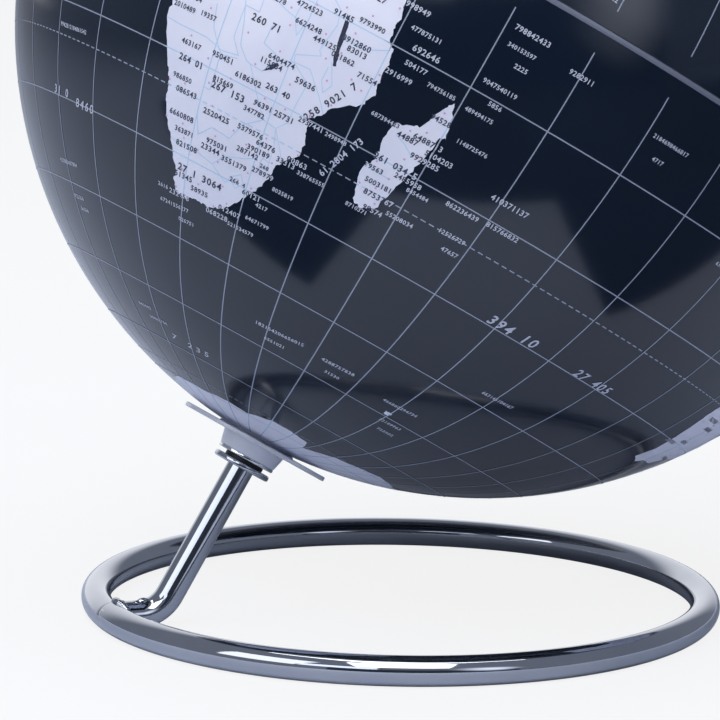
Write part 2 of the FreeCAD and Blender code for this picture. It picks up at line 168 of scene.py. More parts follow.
finishes = {
    "chrome": dict(colour=shade(190, 193, 199), second=shade(176, 180, 188), roughness=0.05, smudge=0.05,
                   scratch=0.03, bump=0.015, set={"Metallic": 1}),
    "brightTrim": dict(colour=shade(226, 228, 232), roughness=0.1, smudge=0.06, set={"Metallic": 1}),
    "plainSteel": dict(colour=shade(172, 174, 178), second=shade(150, 152, 158), roughness=0.34, smudge=0.16,
                       scratch=0.12, bump=0.1, set={"Metallic": 1}),
    "darkNylon": dict(colour=shade(30, 31, 34), second=shade(20, 21, 24), roughness=0.5, bump=0.15),
    "whiteAcetal": dict(colour=shade(232, 232, 226), second=shade(222, 222, 214), roughness=0.42, bump=0.06),
    "mouldedShell": dict(colour=shade(66, 70, 78), second=shade(54, 58, 66), roughness=0.46, bump=0.15),
    "oceanPrint": dict(colour=shade(13, 25, 41), second=shade(10, 21, 36), roughness=0.12, smudge=0.05,
                       scratch=0.02, bump=0.01, set={"Specular IOR Level": 0.6}),
    "landPrint": dict(colour=shade(218, 220, 234), second=shade(206, 209, 226), roughness=0.36, smudge=0.12,
                      scratch=0.05, bump=0.03, size=1.6, set={"Metallic": 0.1}),
    "lakePrint": dict(colour=shade(50, 56, 74), second=shade(42, 48, 66), roughness=0.2),
    "borderPrint": dict(colour=shade(174, 202, 228), second=shade(160, 192, 222), roughness=0.3),
    "townPrint": dict(colour=shade(206, 160, 196), second=shade(190, 146, 186), roughness=0.3),
    "darkFigures": dict(colour=shade(60, 64, 86), second=shade(48, 52, 72), roughness=0.3),
    "paleFigures": dict(colour=shade(178, 184, 200), second=shade(164, 170, 188), roughness=0.25),
    "bandStrip": dict(colour=shade(104, 110, 126), second=shade(94, 100, 118), roughness=0.22, bump=0.05),
    "clearDisc": dict(colour=shade(234, 238, 248), second=shade(224, 229, 243), roughness=0.2, smudge=0.08,
                      set={"Transmission Weight": 0.4, "IOR": 1.46}),
    "frostedCollar": dict(colour=shade(230, 233, 243), second=shade(214, 219, 234), roughness=0.32, smudge=0.1,
                          bump=0.08, set={"Transmission Weight": 0.15, "IOR": 1.46}),
}
finish = {name: makeFinish(name, look) for name, look in finishes.items()}


def makeGridInk():
    # White-grey over the sea and pale blue over land, by a mark on the lines themselves.
    material = makeFinish("gridPrint", dict(colour=shade(138, 147, 166), roughness=0.25))
    tree = material.node_tree
    shader = tree.nodes["Principled BSDF"]
    old = shader.inputs["Base Color"].links[0].from_node
    where = tree.nodes.new("ShaderNodeAttribute")
    where.attribute_name = "overLand"
    ink = tree.nodes.new("ShaderNodeMix")
    ink.data_type = "RGBA"
    ink.inputs["B"].default_value = (*shade(176, 200, 226), 1)
    tree.links.new(where.outputs["Fac"], ink.inputs["Factor"])
    tree.links.new(old.outputs["Result"], ink.inputs["A"])
    tree.links.new(ink.outputs["Result"], shader.inputs["Base Color"])
    return material


finish["gridPrint"] = makeGridInk()
print("finishes:", len(finish))


# Helpers for pieces.
def makePiece(name, bm, material, sharpAngle=35):
    mesh = bpy.data.meshes.new(name)
    bm.to_mesh(mesh)
    bm.free()
    mesh.materials.append(material)
    mesh.polygons.foreach_set("use_smooth", [True] * len(mesh.polygons))
    mesh.set_sharp_from_angle(angle=math.radians(sharpAngle))
    piece = bpy.data.objects.new(name, mesh)
    bpy.context.scene.collection.objects.link(piece)
    return piece


def settle(piece, body, slot, *replaced):
    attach(piece, body)
    if replaced:
        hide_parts(*replaced)
    return piece


def spunOutline(outline, steps, rounding=0):
    # A closed outline of (radius, height) in millimetres, spun about the third axis.
    bm = bmesh.new()
    corners = [bm.verts.new((across * mm, 0, up * mm)) for across, up in outline]
    sides = [bm.edges.new((corners[i - 1], corners[i])) for i in range(len(corners))]
    bmesh.ops.spin(bm, geom=corners + sides, cent=(0, 0, 0), axis=(0, 0, 1), angle=math.tau,
                   steps=steps, use_merge=True)
    bmesh.ops.remove_doubles(bm, verts=bm.verts[:], dist=1e-7)
    bmesh.ops.recalc_face_normals(bm, faces=bm.faces[:])
    if rounding:
        rims = [e for e in bm.edges if e.is_manifold and e.calc_face_angle(0) > 0.5]
        bmesh.ops.bevel(bm, geom=rims, offset=rounding * mm, offset_type="OFFSET", segments=3,
                        profile=0.5, affect="EDGES", material=-1)
    return bm


def withEdges(faces):
    # The faces with their own edges and corners, for a cut through them alone.
    edges = {e: True for f in faces for e in f.edges}
    corners = {v: True for f in faces for v in f.verts}
    return list(faces) + list(edges) + list(corners)


def arcOutline(radius, start, end, steps):
    # (radius, height) along an arc about the ball's centre; angles in degrees from the equator.
    turns = [math.radians(start + (end - start) * i / steps) for i in range(steps + 1)]
    return [(radius * math.cos(t), radius * math.sin(t)) for t in turns]


# The stand.
ring = {"rodSteps": 48, "roundSteps": 240, "seamAngle": 181.5, "seamHalf": 0.3, "seamDepth": 0.07,
        "seamLean": 0.12, "seamReach": 8}
ringLow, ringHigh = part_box("base_ring")
rodRadius = (ringHigh.z - ringLow.z) / 2
ringRadius = ringHigh.x - rodRadius

bm = bmesh.new()
bmesh.ops.create_circle(bm, segments=ring["rodSteps"], radius=rodRadius,
                        matrix=Matrix.Translation((ringRadius, 0, rodRadius)) @ Matrix.Rotation(math.pi / 2, 4, "X"))
bmesh.ops.spin(bm, geom=bm.verts[:] + bm.edges[:], cent=(0, 0, 0), axis=(0, 0, 1), angle=math.tau,
               steps=ring["roundSteps"], use_merge=True)
bmesh.ops.remove_doubles(bm, verts=bm.verts[:], dist=1e-7)

# The rod's two ends meet in a fine closed seam outside the weld.
seamTurn = math.radians(ring["seamAngle"])
seamPlace = Vector((math.cos(seamTurn), math.sin(seamTurn), 0)) * ringRadius + Vector((0, 0, rodRadius))
seamAlong = Vector((-math.sin(seamTurn), math.cos(seamTurn), ring["seamLean"])).normalized()
for shift in (-ring["seamHalf"], 0, ring["seamHalf"]):
    near = [f for f in bm.faces if (f.calc_center_median() - seamPlace).length < ring["seamReach"] * mm]
    bmesh.ops.bisect_plane(bm, geom=withEdges(near), dist=1e-8,
                           plane_co=seamPlace + seamAlong * shift * mm, plane_no=seamAlong)
for v in bm.verts:
    fromSeam = v.co - seamPlace
    if fromSeam.length < ring["seamReach"] * mm and abs(fromSeam.dot(seamAlong)) < 1e-7:
        v.co -= fromSeam.normalized() * ring["seamDepth"] * mm
bmesh.ops.recalc_face_normals(bm, faces=bm.faces[:])
settle(makePiece("baseRing", bm, finish["chrome"]), "stand", "chrome", "base_ring")

post = {"bend": 10, "rodSteps": 56, "bendSteps": 20, "intoRing": 0.4}
postLow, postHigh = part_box("stand_post")
postRadius = (postHigh.y - postLow.y) / 2
lean = math.pi / 2 - math.acos(axis.x)  # the axis away from upright
corner = ballCentre - axis * ((ballCentre.z - rodRadius) / axis.z)
bendAngle = math.pi / 2 - lean
bendStart = corner - Vector((post["bend"] * mm * math.tan(bendAngle / 2), 0, 0))


def buildPost(topLevel):
    bm = bmesh.new()
    startX = -ringRadius + rodRadius * post["intoRing"]
    bmesh.ops.create_circle(bm, segments=post["rodSteps"], radius=postRadius,
                            matrix=Matrix.Translation((startX, 0, rodRadius)) @ Matrix.Rotation(math.pi / 2, 4, "Y"))
    loop = bm.edges[:]

    def extrudeBy(loop, move):
        made = bmesh.ops.extrude_edge_only(bm, edges=loop)["geom"]
        bmesh.ops.translate(bm, verts=[v for v in made if isinstance(v, bmesh.types.BMVert)], vec=move)
        return [e for e in made if isinstance(e, bmesh.types.BMEdge) and len(e.link_faces) == 1]

    loop = extrudeBy(loop, (bendStart.x - startX, 0, 0))
    loopVerts = list({v for e in loop for v in e.verts})
    turned = bmesh.ops.spin(bm, geom=loopVerts + loop, cent=bendStart + Vector((0, 0, post["bend"] * mm)),
                            axis=(0, -1, 0), angle=bendAngle, steps=post["bendSteps"])["geom_last"]
    loop = [e for e in turned if isinstance(e, bmesh.types.BMEdge)]
    middle = sum((v.co for e in loop for v in e.verts), Vector()) / (2 * len(loop))
    end = ballCentre - axis * topLevel
    loop = extrudeBy(loop, end - middle)
    bmesh.ops.holes_fill(bm, edges=bm.edges[:], sides=post["rodSteps"])
    bmesh.ops.recalc_face_normals(bm, faces=bm.faces[:])
    return bm


stack = {  # along the axis below the ball's centre, millimetres
    "pole": 125, "discEnd": 126.2, "collarEnd": 130, "trimEnd": 131,
    "thrustTop": 131.05, "thrustEnd": 132.1, "postTop": 133.7, "tubeTop": 99.8,
}
settle(makePiece("standPost", buildPost(stack["postTop"] * mm), finish["chrome"]), "stand", "chrome", "stand_post")

weld = {"bead": 1.15, "beads": 26, "uneven": 0.22, "underneath": 0.7, "outOfRing": 0.25, "outOfLeg": 1.04,
        "core": 9, "inset": 0.3, "voxel": 0.22, "smooth": 5, "aboveDesk": 0.2,
        # the larger drops: along the leg, sideways, over the leg's top, size
        "drops": [(9.2, -0.3, -0.1, 1.305), (7.4, -0.5, -0.5, 1.035), (3, 0.3, -0.3, 1.08)],
        "dropShape": (1.4, 1, 0.75, 1)}


def buildWeld():
    # Drops of metal follow the joint of leg and ring, larger drops sit on top, and all run together.
    leg, rod = postRadius / mm, rodRadius / mm
    bm = bmesh.new()
    for i in range(weld["beads"]):
        around = math.tau * i / weld["beads"]
        side, rise = leg * math.cos(around), leg * math.sin(around)
        size = weld["bead"] * (1 + weld["uneven"] * noise.noise(Vector((i * 0.83, 2.1, 0))))
        if rise <= -1.5:
            size *= weld["underneath"]
        out = math.sqrt(max(rod * rod - rise * rise, 0)) + weld["outOfRing"]
        place = Vector((out, side * weld["outOfLeg"], rise * weld["outOfLeg"]))
        bmesh.ops.create_icosphere(bm, subdivisions=2, radius=size, matrix=Matrix.Translation(place))
    for along, side, over, size in weld["drops"]:
        place = Matrix.Translation((along, side, leg + over)) @ Matrix.Diagonal(weld["dropShape"])
        bmesh.ops.create_icosphere(bm, subdivisions=2, radius=size, matrix=place)
    core = leg - weld["inset"]
    bmesh.ops.create_cone(bm, cap_ends=True, segments=48, radius1=core, radius2=core, depth=weld["core"],
                          matrix=Matrix.Translation((weld["core"] / 2, 0, 0)) @ Matrix.Rotation(math.pi / 2, 4, "Y"))
    bmesh.ops.scale(bm, vec=(mm, mm, mm), verts=bm.verts[:])
    bmesh.ops.translate(bm, vec=(-ringRadius, 0, rodRadius), verts=bm.verts[:])
    rough = makePiece("footWeldDrops", bm, finish["chrome"])
    melt = rough.modifiers.new("melt", "REMESH")
    melt.mode = "VOXEL"
    melt.voxel_size = weld["voxel"] * mm
    bpy.context.view_layer.update()
    run = bpy.data.meshes.new_from_object(rough.evaluated_get(bpy.context.evaluated_depsgraph_get()))
    drops = rough.data
    bpy.data.objects.remove(rough)
    bpy.data.meshes.remove(drops)
    bm = bmesh.new()
    bm.from_mesh(run)
    bpy.data.meshes.remove(run)
    for i in range(weld["smooth"]):
        bmesh.ops.smooth_vert(bm, verts=bm.verts[:], factor=0.5, use_axis_x=True, use_axis_y=True, use_axis_z=True)
    for v in bm.verts:
        v.co.z = max(v.co.z, weld["aboveDesk"] * mm)
    bmesh.ops.recalc_face_normals(bm, faces=bm.faces[:])
    return bm


settle(makePiece("footWeld", buildWeld(), finish["chrome"], 80), "stand", "chrome", "foot_weld")


def turnedOnAxis(name, outline, steps, rounding, material, body, slot, replaced):
    bm = spunOutline([(across, -down) for across, down in outline], steps, rounding)
    bm.transform(ballFrame)
    return settle(makePiece(name, bm, finish[material]), body, slot, replaced)


washers = {"bore": 2.55, "disc": 8, "discEdge": 0.55, "thrust": 5.5, "thrustEdge": 0.15}  # radii and rounded edges
turnedOnAxis("postDisc", [(washers["bore"], stack["thrustEnd"]), (washers["disc"], stack["thrustEnd"]),
                          (washers["disc"], stack["postTop"]), (washers["bore"], stack["postTop"])],
             128, washers["discEdge"], "chrome", "stand", "chrome", "post_disc")
turnedOnAxis("thrustWasher", [(washers["bore"], stack["thrustTop"]), (washers["thrust"], stack["thrustTop"]),
                              (washers["thrust"], stack["thrustEnd"]), (washers["bore"], stack["thrustEnd"])],
             96, washers["thrustEdge"], "darkNylon", "stand", "dark_nylon", "thrust_washer")
print("stand built")

# The hub under the ball.
hub = {"discHole": 7.35, "holeTop": 124.78, "disc": 21, "discEdge": 0.25, "bore": 4.25, "collar": 8, "collarTop": 8.9,
       "tube": 7.3, "collarEdge": 0.2, "trimBore": 4.3, "trimEdge": 0.25,
       "seat": [(9.2, 124.66), (11, 124.52)]}  # where the disc's face is dished to the ball
turnedOnAxis("poleDisc", [(hub["discHole"], hub["holeTop"]), *hub["seat"], (hub["seat"][-1][0], stack["pole"]),
                          (hub["disc"], stack["pole"]), (hub["disc"], stack["discEnd"]),
                          (hub["discHole"], stack["discEnd"])],
             160, hub["discEdge"], "clearDisc", "ball", "clear_plastic", "pole_disc")
turnedOnAxis("hubCollar", [(hub["bore"], stack["collarEnd"]), (hub["collar"], stack["collarEnd"]),
                           (hub["collarTop"], stack["discEnd"]), (hub["tube"], stack["discEnd"]),
                           (hub["tube"], stack["tubeTop"]), (hub["bore"], stack["tubeTop"])],
             128, hub["collarEdge"], "frostedCollar", "ball", "frosted_plastic", "hub_collar")
turnedOnAxis("collarTrimRing", [(hub["trimBore"], stack["collarEnd"]), (hub["collar"], stack["collarEnd"]),
                                (hub["collar"], stack["trimEnd"]), (hub["trimBore"], stack["trimEnd"])],
             128, hub["trimEdge"], "brightTrim", "ball", "bright_trim", "collar_trim_ring")

# The ball's skin.
ball = {"skin": 124.92, "inside": 124.8, "hole": 7.35, "bandRadius": 125.05, "bandHalf": 0.65, "groove": 0.95,
        "roundSteps": 240, "rows": 60}


def latitudeAt(level, radius):
    return math.degrees(math.asin(level / radius))


def buildSkin(southern):
    holeLatitude = -math.degrees(math.acos(ball["hole"] / ball["skin"]))
    if southern:
        first, last = holeLatitude, latitudeAt(-ball["bandHalf"], ball["skin"])
        outline = arcOutline(ball["skin"], first, last, ball["rows"])
        outline += arcOutline(ball["inside"], last, first, ball["rows"] // 2)
    else:
        first = latitudeAt(ball["groove"], ball["skin"])
        outline = arcOutline(ball["skin"], first, 90, ball["rows"])
        outline += arcOutline(ball["inside"], 90, first, ball["rows"] // 2)
    return outline


for name, southern, replaced in (("southSkin", True, "south_map_film"), ("northSkin", False, "north_map_film")):
    outline = buildSkin(southern)
    if southern:
        bm = spunOutline(outline, ball["roundSteps"])
    else:  # the outline's two ends on the axis close the pole
        bm = bmesh.new()
        for part in (outline[:ball["rows"] + 1], outline[ball["rows"] + 1:]):
            chain = [bm.verts.new((max(across, 0) * mm, 0, up * mm)) for across, up in part]
            for i in range(len(chain) - 1):
                bm.edges.new((chain[i], chain[i + 1]))
        bm.verts.ensure_lookup_table()
        bm.edges.new((bm.verts[0], bm.verts[-1]))
        bmesh.ops.spin(bm, geom=bm.verts[:] + bm.edges[:], cent=(0, 0, 0), axis=(0, 0, 1), angle=math.tau,
                       steps=ball["roundSteps"], use_merge=True)
        bmesh.ops.remove_doubles(bm, verts=bm.verts[:], dist=1e-6)
        bmesh.ops.recalc_face_normals(bm, faces=bm.faces[:])
    bm.transform(ballFrame)
    settle(makePiece(name, bm, finish["oceanPrint"], 60), "ball", "map_print", replaced)

bm = spunOutline([(ball["inside"], -ball["bandHalf"]), (ball["bandRadius"], -ball["bandHalf"]),
                  (ball["bandRadius"], ball["bandHalf"]), (ball["inside"], ball["bandHalf"])], 288, 0.04)
bm.transform(ballFrame)
settle(makePiece("equatorBand", bm, finish["bandStrip"]), "ball", "band_strip", "equator_band")
print("ball skin built")

# The printed map.
mapFit = {"turn": 19.6, "polar": 0.711, "growth": 0.289,  # the print widens from the poles to the equator
          "land": 0, "border": 0.01, "grid": 0.02, "town": 0.03, "figure": 0.04, "seed": 7}
printRadius = 124.965  # millimetres, over the land


def trueLatitude(latitude):
    fromPole = 90 - abs(latitude)
    return math.copysign(90 - fromPole * (mapFit["polar"] + mapFit["growth"] * fromPole / 90), latitude)


def outward(longitude, latitude):
    turn, rise = math.radians(longitude + mapFit["turn"]), math.radians(trueLatitude(latitude))
    return Vector((math.cos(turn) * math.cos(rise), math.sin(turn) * math.cos(rise), math.sin(rise)))


coasts = {
    "africa": [
        (12.3, -6), (13.2, -8.8), (13.5, -12.3), (12.1, -15.2), (11.75, -17.25), (13.4, -20.9), (13.95, -21.8),
        (14.5, -22.95), (14.5, -24.5), (15.1, -26.65), (16.45, -28.6), (17.3, -30.5), (18.3, -32), (18.3, -32.6),
        (17.85, -32.8), (18.35, -33.9), (18.5, -34.35), (18.85, -34.15), (18.8, -34.4), (20, -34.83), (21, -34.4),
        (22.15, -34.1), (23.05, -34.1), (24.85, -34.2), (25.65, -34), (26.5, -33.75), (27.9, -33.05),
        (29.5, -31.65), (31.05, -29.85), (32.1, -28.8), (32.85, -27), (32.95, -25.95), (33.7, -25.2),
        (35.5, -23.8), (35.45, -22.1), (35.05, -20.95), (34.85, -19.85), (36.25, -18.85), (36.95, -17.9),
        (39.9, -16.25), (40.75, -15), (40.7, -14.2), (40.55, -13), (40.6, -11.5), (40.45, -10.5), (39.7, -10),
        (39.35, -8.8), (39.55, -7.5), (39.3, -6.8), (38.95, -5.4), (39.65, -4.05), (40.1, -3.2), (40.9, -2.2),
        (41.6, -1.65), (42.55, -0.35), (45.35, 2.05), (48, 4.5), (49.85, 8), (51.4, 10.4), (51.25, 11.85),
        (49, 11.3), (45, 10.45), (43.2, 11.6), (42.75, 13), (39.45, 15.6), (38.5, 18), (37.2, 19.6), (37.2, 21),
        (36.6, 22.2), (35.6, 24), (34.3, 26.1), (33.85, 27.25), (32.55, 29.95), (32.3, 31.25), (31, 31.6),
        (29.9, 31.2), (27.2, 31.35), (25.2, 31.55), (24, 32.1), (22.6, 32.9), (20.05, 32.1), (19, 30.3),
        (16.6, 31.2), (15.1, 32.4), (13.2, 32.9), (11.5, 33.15), (10.1, 33.9), (10.75, 34.75), (11.05, 37.05),
        (9.8, 37.3), (7.75, 36.95), (3.05, 36.8), (-0.65, 35.75), (-2.95, 35.3), (-5.8, 35.8), (-6.85, 34.05),
        (-7.6, 33.6), (-9.25, 32.3), (-9.65, 30.4), (-12.95, 27.95), (-14.5, 26.15), (-15.95, 23.7),
        (-17.05, 20.8), (-16, 18.1), (-17.5, 14.7), (-16.6, 13.45), (-16, 11.9), (-13.7, 9.5), (-13.25, 8.5),
        (-10.8, 6.3), (-7.7, 4.35), (-4, 5.3), (-2.1, 4.75), (-0.2, 5.55), (1.2, 6.1), (3.4, 6.4), (5, 5.8),
        (6.1, 4.3), (8.3, 4.6), (9.5, 3.9), (9.8, 2.3), (9.4, 0.4), (8.7, -0.65), (9.6, -2.4), (11.85, -4.8)],
    "madagascar": [
        (49.3, -12), (50, -13.4), (50.5, -15.3), (49.7, -15.5), (49.75, -16.2), (49.4, -18.15), (48.6, -20.6),
        (48.35, -21.3), (47.6, -23.5), (47, -25), (45.15, -25.6), (44, -25), (43.65, -23.4), (43.35, -21.75),
        (44.3, -20.3), (44.2, -19), (44, -18.05), (44.45, -16.2), (46.3, -15.7), (47.2, -15.5), (47.8, -14.6),
        (48.2, -13.5), (48.9, -12.5)],
    "eurasia": [
        (-9.5, 38.7), (-8.9, 37), (-6.3, 36.7), (-5.3, 36.1), (-2.1, 36.8), (-0.4, 38.3), (0.2, 39.5), (3.2, 41.9),
        (4, 43.5), (7.5, 43.8), (8.9, 44.4), (10.3, 43.5), (12.3, 41.7), (15, 40.2), (15.8, 38.9), (15.7, 38),
        (17, 38.9), (16.9, 40.4), (18.4, 40), (16, 41.5), (14, 42.6), (12.4, 44.2), (12.3, 45.3), (13.7, 45.6),
        (14.9, 45), (15.2, 44.2), (17.5, 42.9), (19.4, 41.8), (19.4, 40.5), (21.1, 38.3), (21.7, 36.8),
        (23.1, 36.5), (24, 37.7), (22.9, 39.3), (22.9, 40.5), (24, 40.1), (26, 40.8), (26.8, 40.5), (28.9, 41),
        (28, 41.9), (27.7, 42.6), (28.6, 43.7), (29.7, 45.2), (30.8, 46.5), (33, 46.1), (32.5, 45.4),
        (33.6, 44.4), (36.4, 45.2), (35.1, 46.2), (38.2, 47.1), (39.3, 47.1), (37.9, 46.4), (37.5, 45.2),
        (38.2, 44.4), (41.5, 42.4), (41.5, 41.5), (38.3, 41), (35.1, 42), (31.3, 41.3), (29.1, 41.2),
        (27.2, 40.4), (26.2, 39.5), (26.8, 38.2), (27.3, 37), (29.6, 36.2), (32.1, 36.1), (34.6, 36.8),
        (36, 36.6), (35.5, 34), (34.9, 32.1), (34.3, 31.2), (32.6, 31), (32.7, 29.9), (34.2, 27.8), (34.9, 29.5),
        (35.5, 28), (37.2, 25.8), (39.1, 21.5), (41.7, 17.8), (42.8, 14.8), (43.4, 12.7), (45, 12.8),
        (48.7, 14), (52.2, 15.6), (55.2, 17.5), (57.8, 18.9), (59.8, 22.4), (58.6, 23.6), (56.6, 24.5),
        (56.3, 26.2), (54.2, 24.1), (51.6, 24.2), (51.3, 26), (50.2, 26.3), (48.8, 27.8), (47.9, 29.9),
        (50.2, 30), (51.4, 27.9), (54, 26.6), (56.9, 27.1), (57.3, 25.8), (61.6, 25.1), (66.6, 25.3), (67.4, 24),
        (68.6, 23.2), (70.3, 20.9), (72.7, 21.2), (72.9, 19), (73.5, 16), (74.8, 12.9), (76.5, 9), (77.6, 8.1),
        (78.2, 8.9), (79.9, 10.3), (80.2, 13.2), (80.3, 15.7), (82.3, 16.7), (85.1, 19.6), (87, 21.5),
        (89, 21.8), (91.8, 22.5), (92.3, 20.8), (94.3, 18.2), (94.3, 16), (97, 16.9), (97.8, 14.5), (98.6, 12),
        (98.6, 8.3), (100.4, 6.3), (101.3, 3), (103.5, 1.3), (104.2, 1.4), (103.4, 4.2), (102, 6.2),
        (100.5, 7.3), (99.3, 9.3), (99.9, 11.7), (100.9, 13.4), (102.6, 12.1), (103.6, 10.5), (105.1, 8.7),
        (106.7, 10.4), (109.2, 11.6), (109.2, 13.8), (108.2, 16.1), (105.9, 18.9), (108.1, 21.6), (110.3, 21.3),
        (113.6, 22.2), (116.7, 23.4), (119.6, 25.6), (121.7, 28.2), (121.9, 30.9), (119.2, 34.8), (122.5, 37),
        (119, 37.3), (117.7, 38.9), (121.6, 40.9), (121.2, 38.8), (124.4, 40), (125.2, 37.7), (126.5, 34.6),
        (129.2, 35.4), (129.3, 37.3), (127.5, 39.6), (129.7, 41.3), (132.3, 43.3), (135.4, 44.3), (138.6, 47),
        (140.5, 50.8), (141.3, 53), (138.2, 54), (135.4, 54.7), (137.8, 56.5), (142.3, 59), (148.8, 59.4),
        (154.3, 59.5), (156, 61.7), (160.3, 61.8), (163.5, 62.4), (160.2, 60.6), (156.6, 57.8), (155.7, 54.5),
        (156.8, 51.1), (159.8, 53.2), (162, 56.2), (163.3, 58), (166.2, 60), (170.4, 60), (174, 61.8),
        (179, 62.5), (178.6, 64.6), (180, 65), (180, 68.9), (175.6, 69.8), (170.5, 69), (167.8, 69.7),
        (160.8, 69.5), (152.9, 70.9), (140, 72.5), (131.2, 71.3), (129.2, 72.9), (123.5, 73.2), (113.5, 73.6),
        (113, 75.6), (104.2, 77.6), (98.9, 76.4), (87.3, 75.1), (80.6, 73.6), (80.5, 72), (77.6, 72.3),
        (74.6, 72.8), (73.7, 71), (73.8, 68.3), (71.3, 66.4), (72.3, 68.8), (72, 71.3), (69.6, 72.9),
        (66.8, 71.2), (67.3, 68.9), (64.4, 69), (60.4, 69.8), (54.6, 68.3), (48.1, 67.6), (43.9, 68.5),
        (43.4, 66.4), (40.5, 66), (39.8, 64.6), (36.5, 64), (34.8, 64.5), (33, 66.7), (41.2, 66.7),
        (40.9, 67.7), (36.8, 69), (31, 69.9), (28.2, 71.2), (23.3, 70.3), (18.5, 69.5), (14.2, 67.2),
        (11.2, 64.6), (7, 62.5), (5, 60.9), (5.6, 58.8), (8.2, 58.1), (10.6, 59.4), (11.6, 57.9), (12.8, 56),
        (14.2, 55.5), (16.4, 56.6), (16.8, 58.7), (18.9, 60), (17.2, 61.3), (18.4, 63), (21.8, 65),
        (24.5, 65.8), (25.3, 64.9), (21.5, 63), (21.3, 61), (22.9, 59.9), (28.2, 60.5), (29.8, 59.9),
        (23.9, 59.4), (24.4, 58.3), (22.5, 57.6), (21.1, 56), (19.6, 54.5), (16.5, 54.5), (12.5, 54.4),
        (10.9, 54), (10, 55), (10.5, 57.4), (8.2, 56.9), (8.3, 54.9), (8.8, 53.9), (5.2, 53.3), (3.6, 51.4),
        (1.6, 50.5), (0.2, 49.5), (-1.6, 49.6), (-1.5, 48.7), (-4.7, 48.4), (-2.4, 47.3), (-1.2, 45.8),
        (-1.6, 43.4), (-8, 43.7), (-9.2, 43), (-8.8, 41.2)],
    "farEast": [(-180, 65), (-172.5, 64.3), (-169.9, 66), (-175, 67.3), (-180, 68.9)],
    "americas": [
        (-168, 65.7), (-163, 66.6), (-166.5, 68.3), (-162, 70.2), (-156.5, 71.3), (-149, 70.5), (-141, 69.7),
        (-135, 69.3), (-128, 70.4), (-124, 70), (-117, 69), (-108.5, 68), (-101, 67.8), (-96, 68.2),
        (-94.5, 71.8), (-91.5, 69.6), (-88, 68), (-85.5, 69.7), (-82, 69.5), (-81.5, 67.5), (-86, 66.3),
        (-88, 64.2), (-93.5, 61.8), (-94.7, 58.7), (-92.5, 57), (-87.5, 56), (-82.3, 55.1), (-82, 52.9),
        (-79.5, 51.4), (-78.9, 54.2), (-76.6, 57.2), (-78.3, 60.8), (-77.6, 62.5), (-73.7, 62.4), (-69.6, 61),
        (-67, 58.4), (-64.5, 60.3), (-61.5, 57), (-57.3, 54.7), (-56, 52), (-60.2, 50.2), (-66.5, 50.2),
        (-70.5, 47), (-65.5, 49.2), (-64.7, 47), (-60.3, 46.5), (-61.5, 45.2), (-65.9, 43.5), (-67, 44.8),
        (-70.5, 43.3), (-70, 41.8), (-74, 40.7), (-75, 38.6), (-76.3, 36.9), (-75.6, 35.2), (-78.6, 33.9),
        (-81.2, 31.5), (-81.3, 29.8), (-80, 26.8), (-80.8, 25.2), (-81.9, 26.5), (-82.8, 28.6), (-84.2, 30.1),
        (-88, 30.4), (-89.5, 29.2), (-91.5, 29.4), (-94.6, 29.4), (-97.3, 27.3), (-97.8, 22.4), (-96, 19.1),
        (-94.4, 18.2), (-91.5, 18.6), (-90.4, 21), (-87.1, 21.5), (-87.6, 19.2), (-88.3, 16.6), (-88, 15.7),
        (-84.3, 15.9), (-83.2, 14.9), (-83.6, 11.6), (-82, 9.2), (-79.6, 9.5), (-77.3, 8.5), (-75.6, 10.5),
        (-72.3, 11.9), (-71.5, 10.9), (-70, 12), (-68.3, 10.7), (-62.3, 10.6), (-60.8, 8.5), (-57.3, 6),
        (-52.8, 5.3), (-50, 1.6), (-48.6, -0.8), (-44.4, -2.8), (-40, -2.9), (-36.9, -4.9), (-35.1, -7),
        (-36, -10.2), (-38.9, -13.2), (-39.1, -17.7), (-41, -22), (-44.5, -23.1), (-48.3, -25.9),
        (-48.7, -28.4), (-51.3, -31.6), (-53.8, -34.4), (-57.5, -34.3), (-57, -36.4), (-59.5, -38.7),
        (-62.2, -39.1), (-64.8, -41), (-63.7, -42.6), (-67, -45.8), (-65.8, -47.9), (-69, -51), (-68.3, -52.4),
        (-71, -53.7), (-74, -52), (-75.5, -49), (-75.5, -46.8), (-73, -44.5), (-73.7, -41.7), (-73.6, -37.3),
        (-71.6, -33.5), (-71.5, -29), (-70.4, -24.5), (-70.3, -18.5), (-73.7, -16), (-76.3, -13.9),
        (-78.8, -9), (-81.2, -6), (-80.3, -3.4), (-80.9, -1.5), (-79.8, 0.9), (-77.5, 4), (-78, 7.2),
        (-80.3, 7.4), (-82.9, 8.3), (-85.7, 10), (-87.6, 13), (-92, 14.4), (-94.8, 16.1), (-99.7, 16.7),
        (-105.5, 20.2), (-105.8, 22.7), (-109.4, 25.9), (-112.8, 29.9), (-114.7, 31.7), (-112, 27.5),
        (-109.5, 23.1), (-112.2, 25.8), (-114.9, 28.5), (-117.1, 32.5), (-120.6, 34.6), (-122.4, 37.3),
        (-124.3, 40.4), (-124, 46.3), (-123.2, 48.9), (-127.7, 51.3), (-130.5, 54.6), (-134.5, 58.2),
        (-140, 59.9), (-146.5, 60.8), (-151.8, 59.3), (-153.5, 58.5), (-158.5, 56), (-163, 54.8), (-160.5, 56),
        (-157.5, 58.6), (-162, 58.8), (-165.5, 61.5), (-161, 64.5), (-166.3, 64.6)],
    "greenland": [
        (-73, 78.2), (-68, 80), (-62, 81.8), (-45, 82.8), (-32, 83.5), (-21, 82), (-12.5, 81.3), (-19.5, 79),
        (-20, 74.5), (-22, 71.8), (-23, 70), (-31, 68.2), (-39.8, 65.4), (-43.2, 60), (-48, 61), (-52, 64.5),
        (-53.7, 67), (-51.5, 69.5), (-54.8, 71), (-58, 75.2), (-66, 75.9)],
    "australia": [
        (113.7, -22.6), (114.1, -21.8), (117.2, -20.6), (121.6, -19), (122.3, -17.2), (124, -16.3), (126, -14),
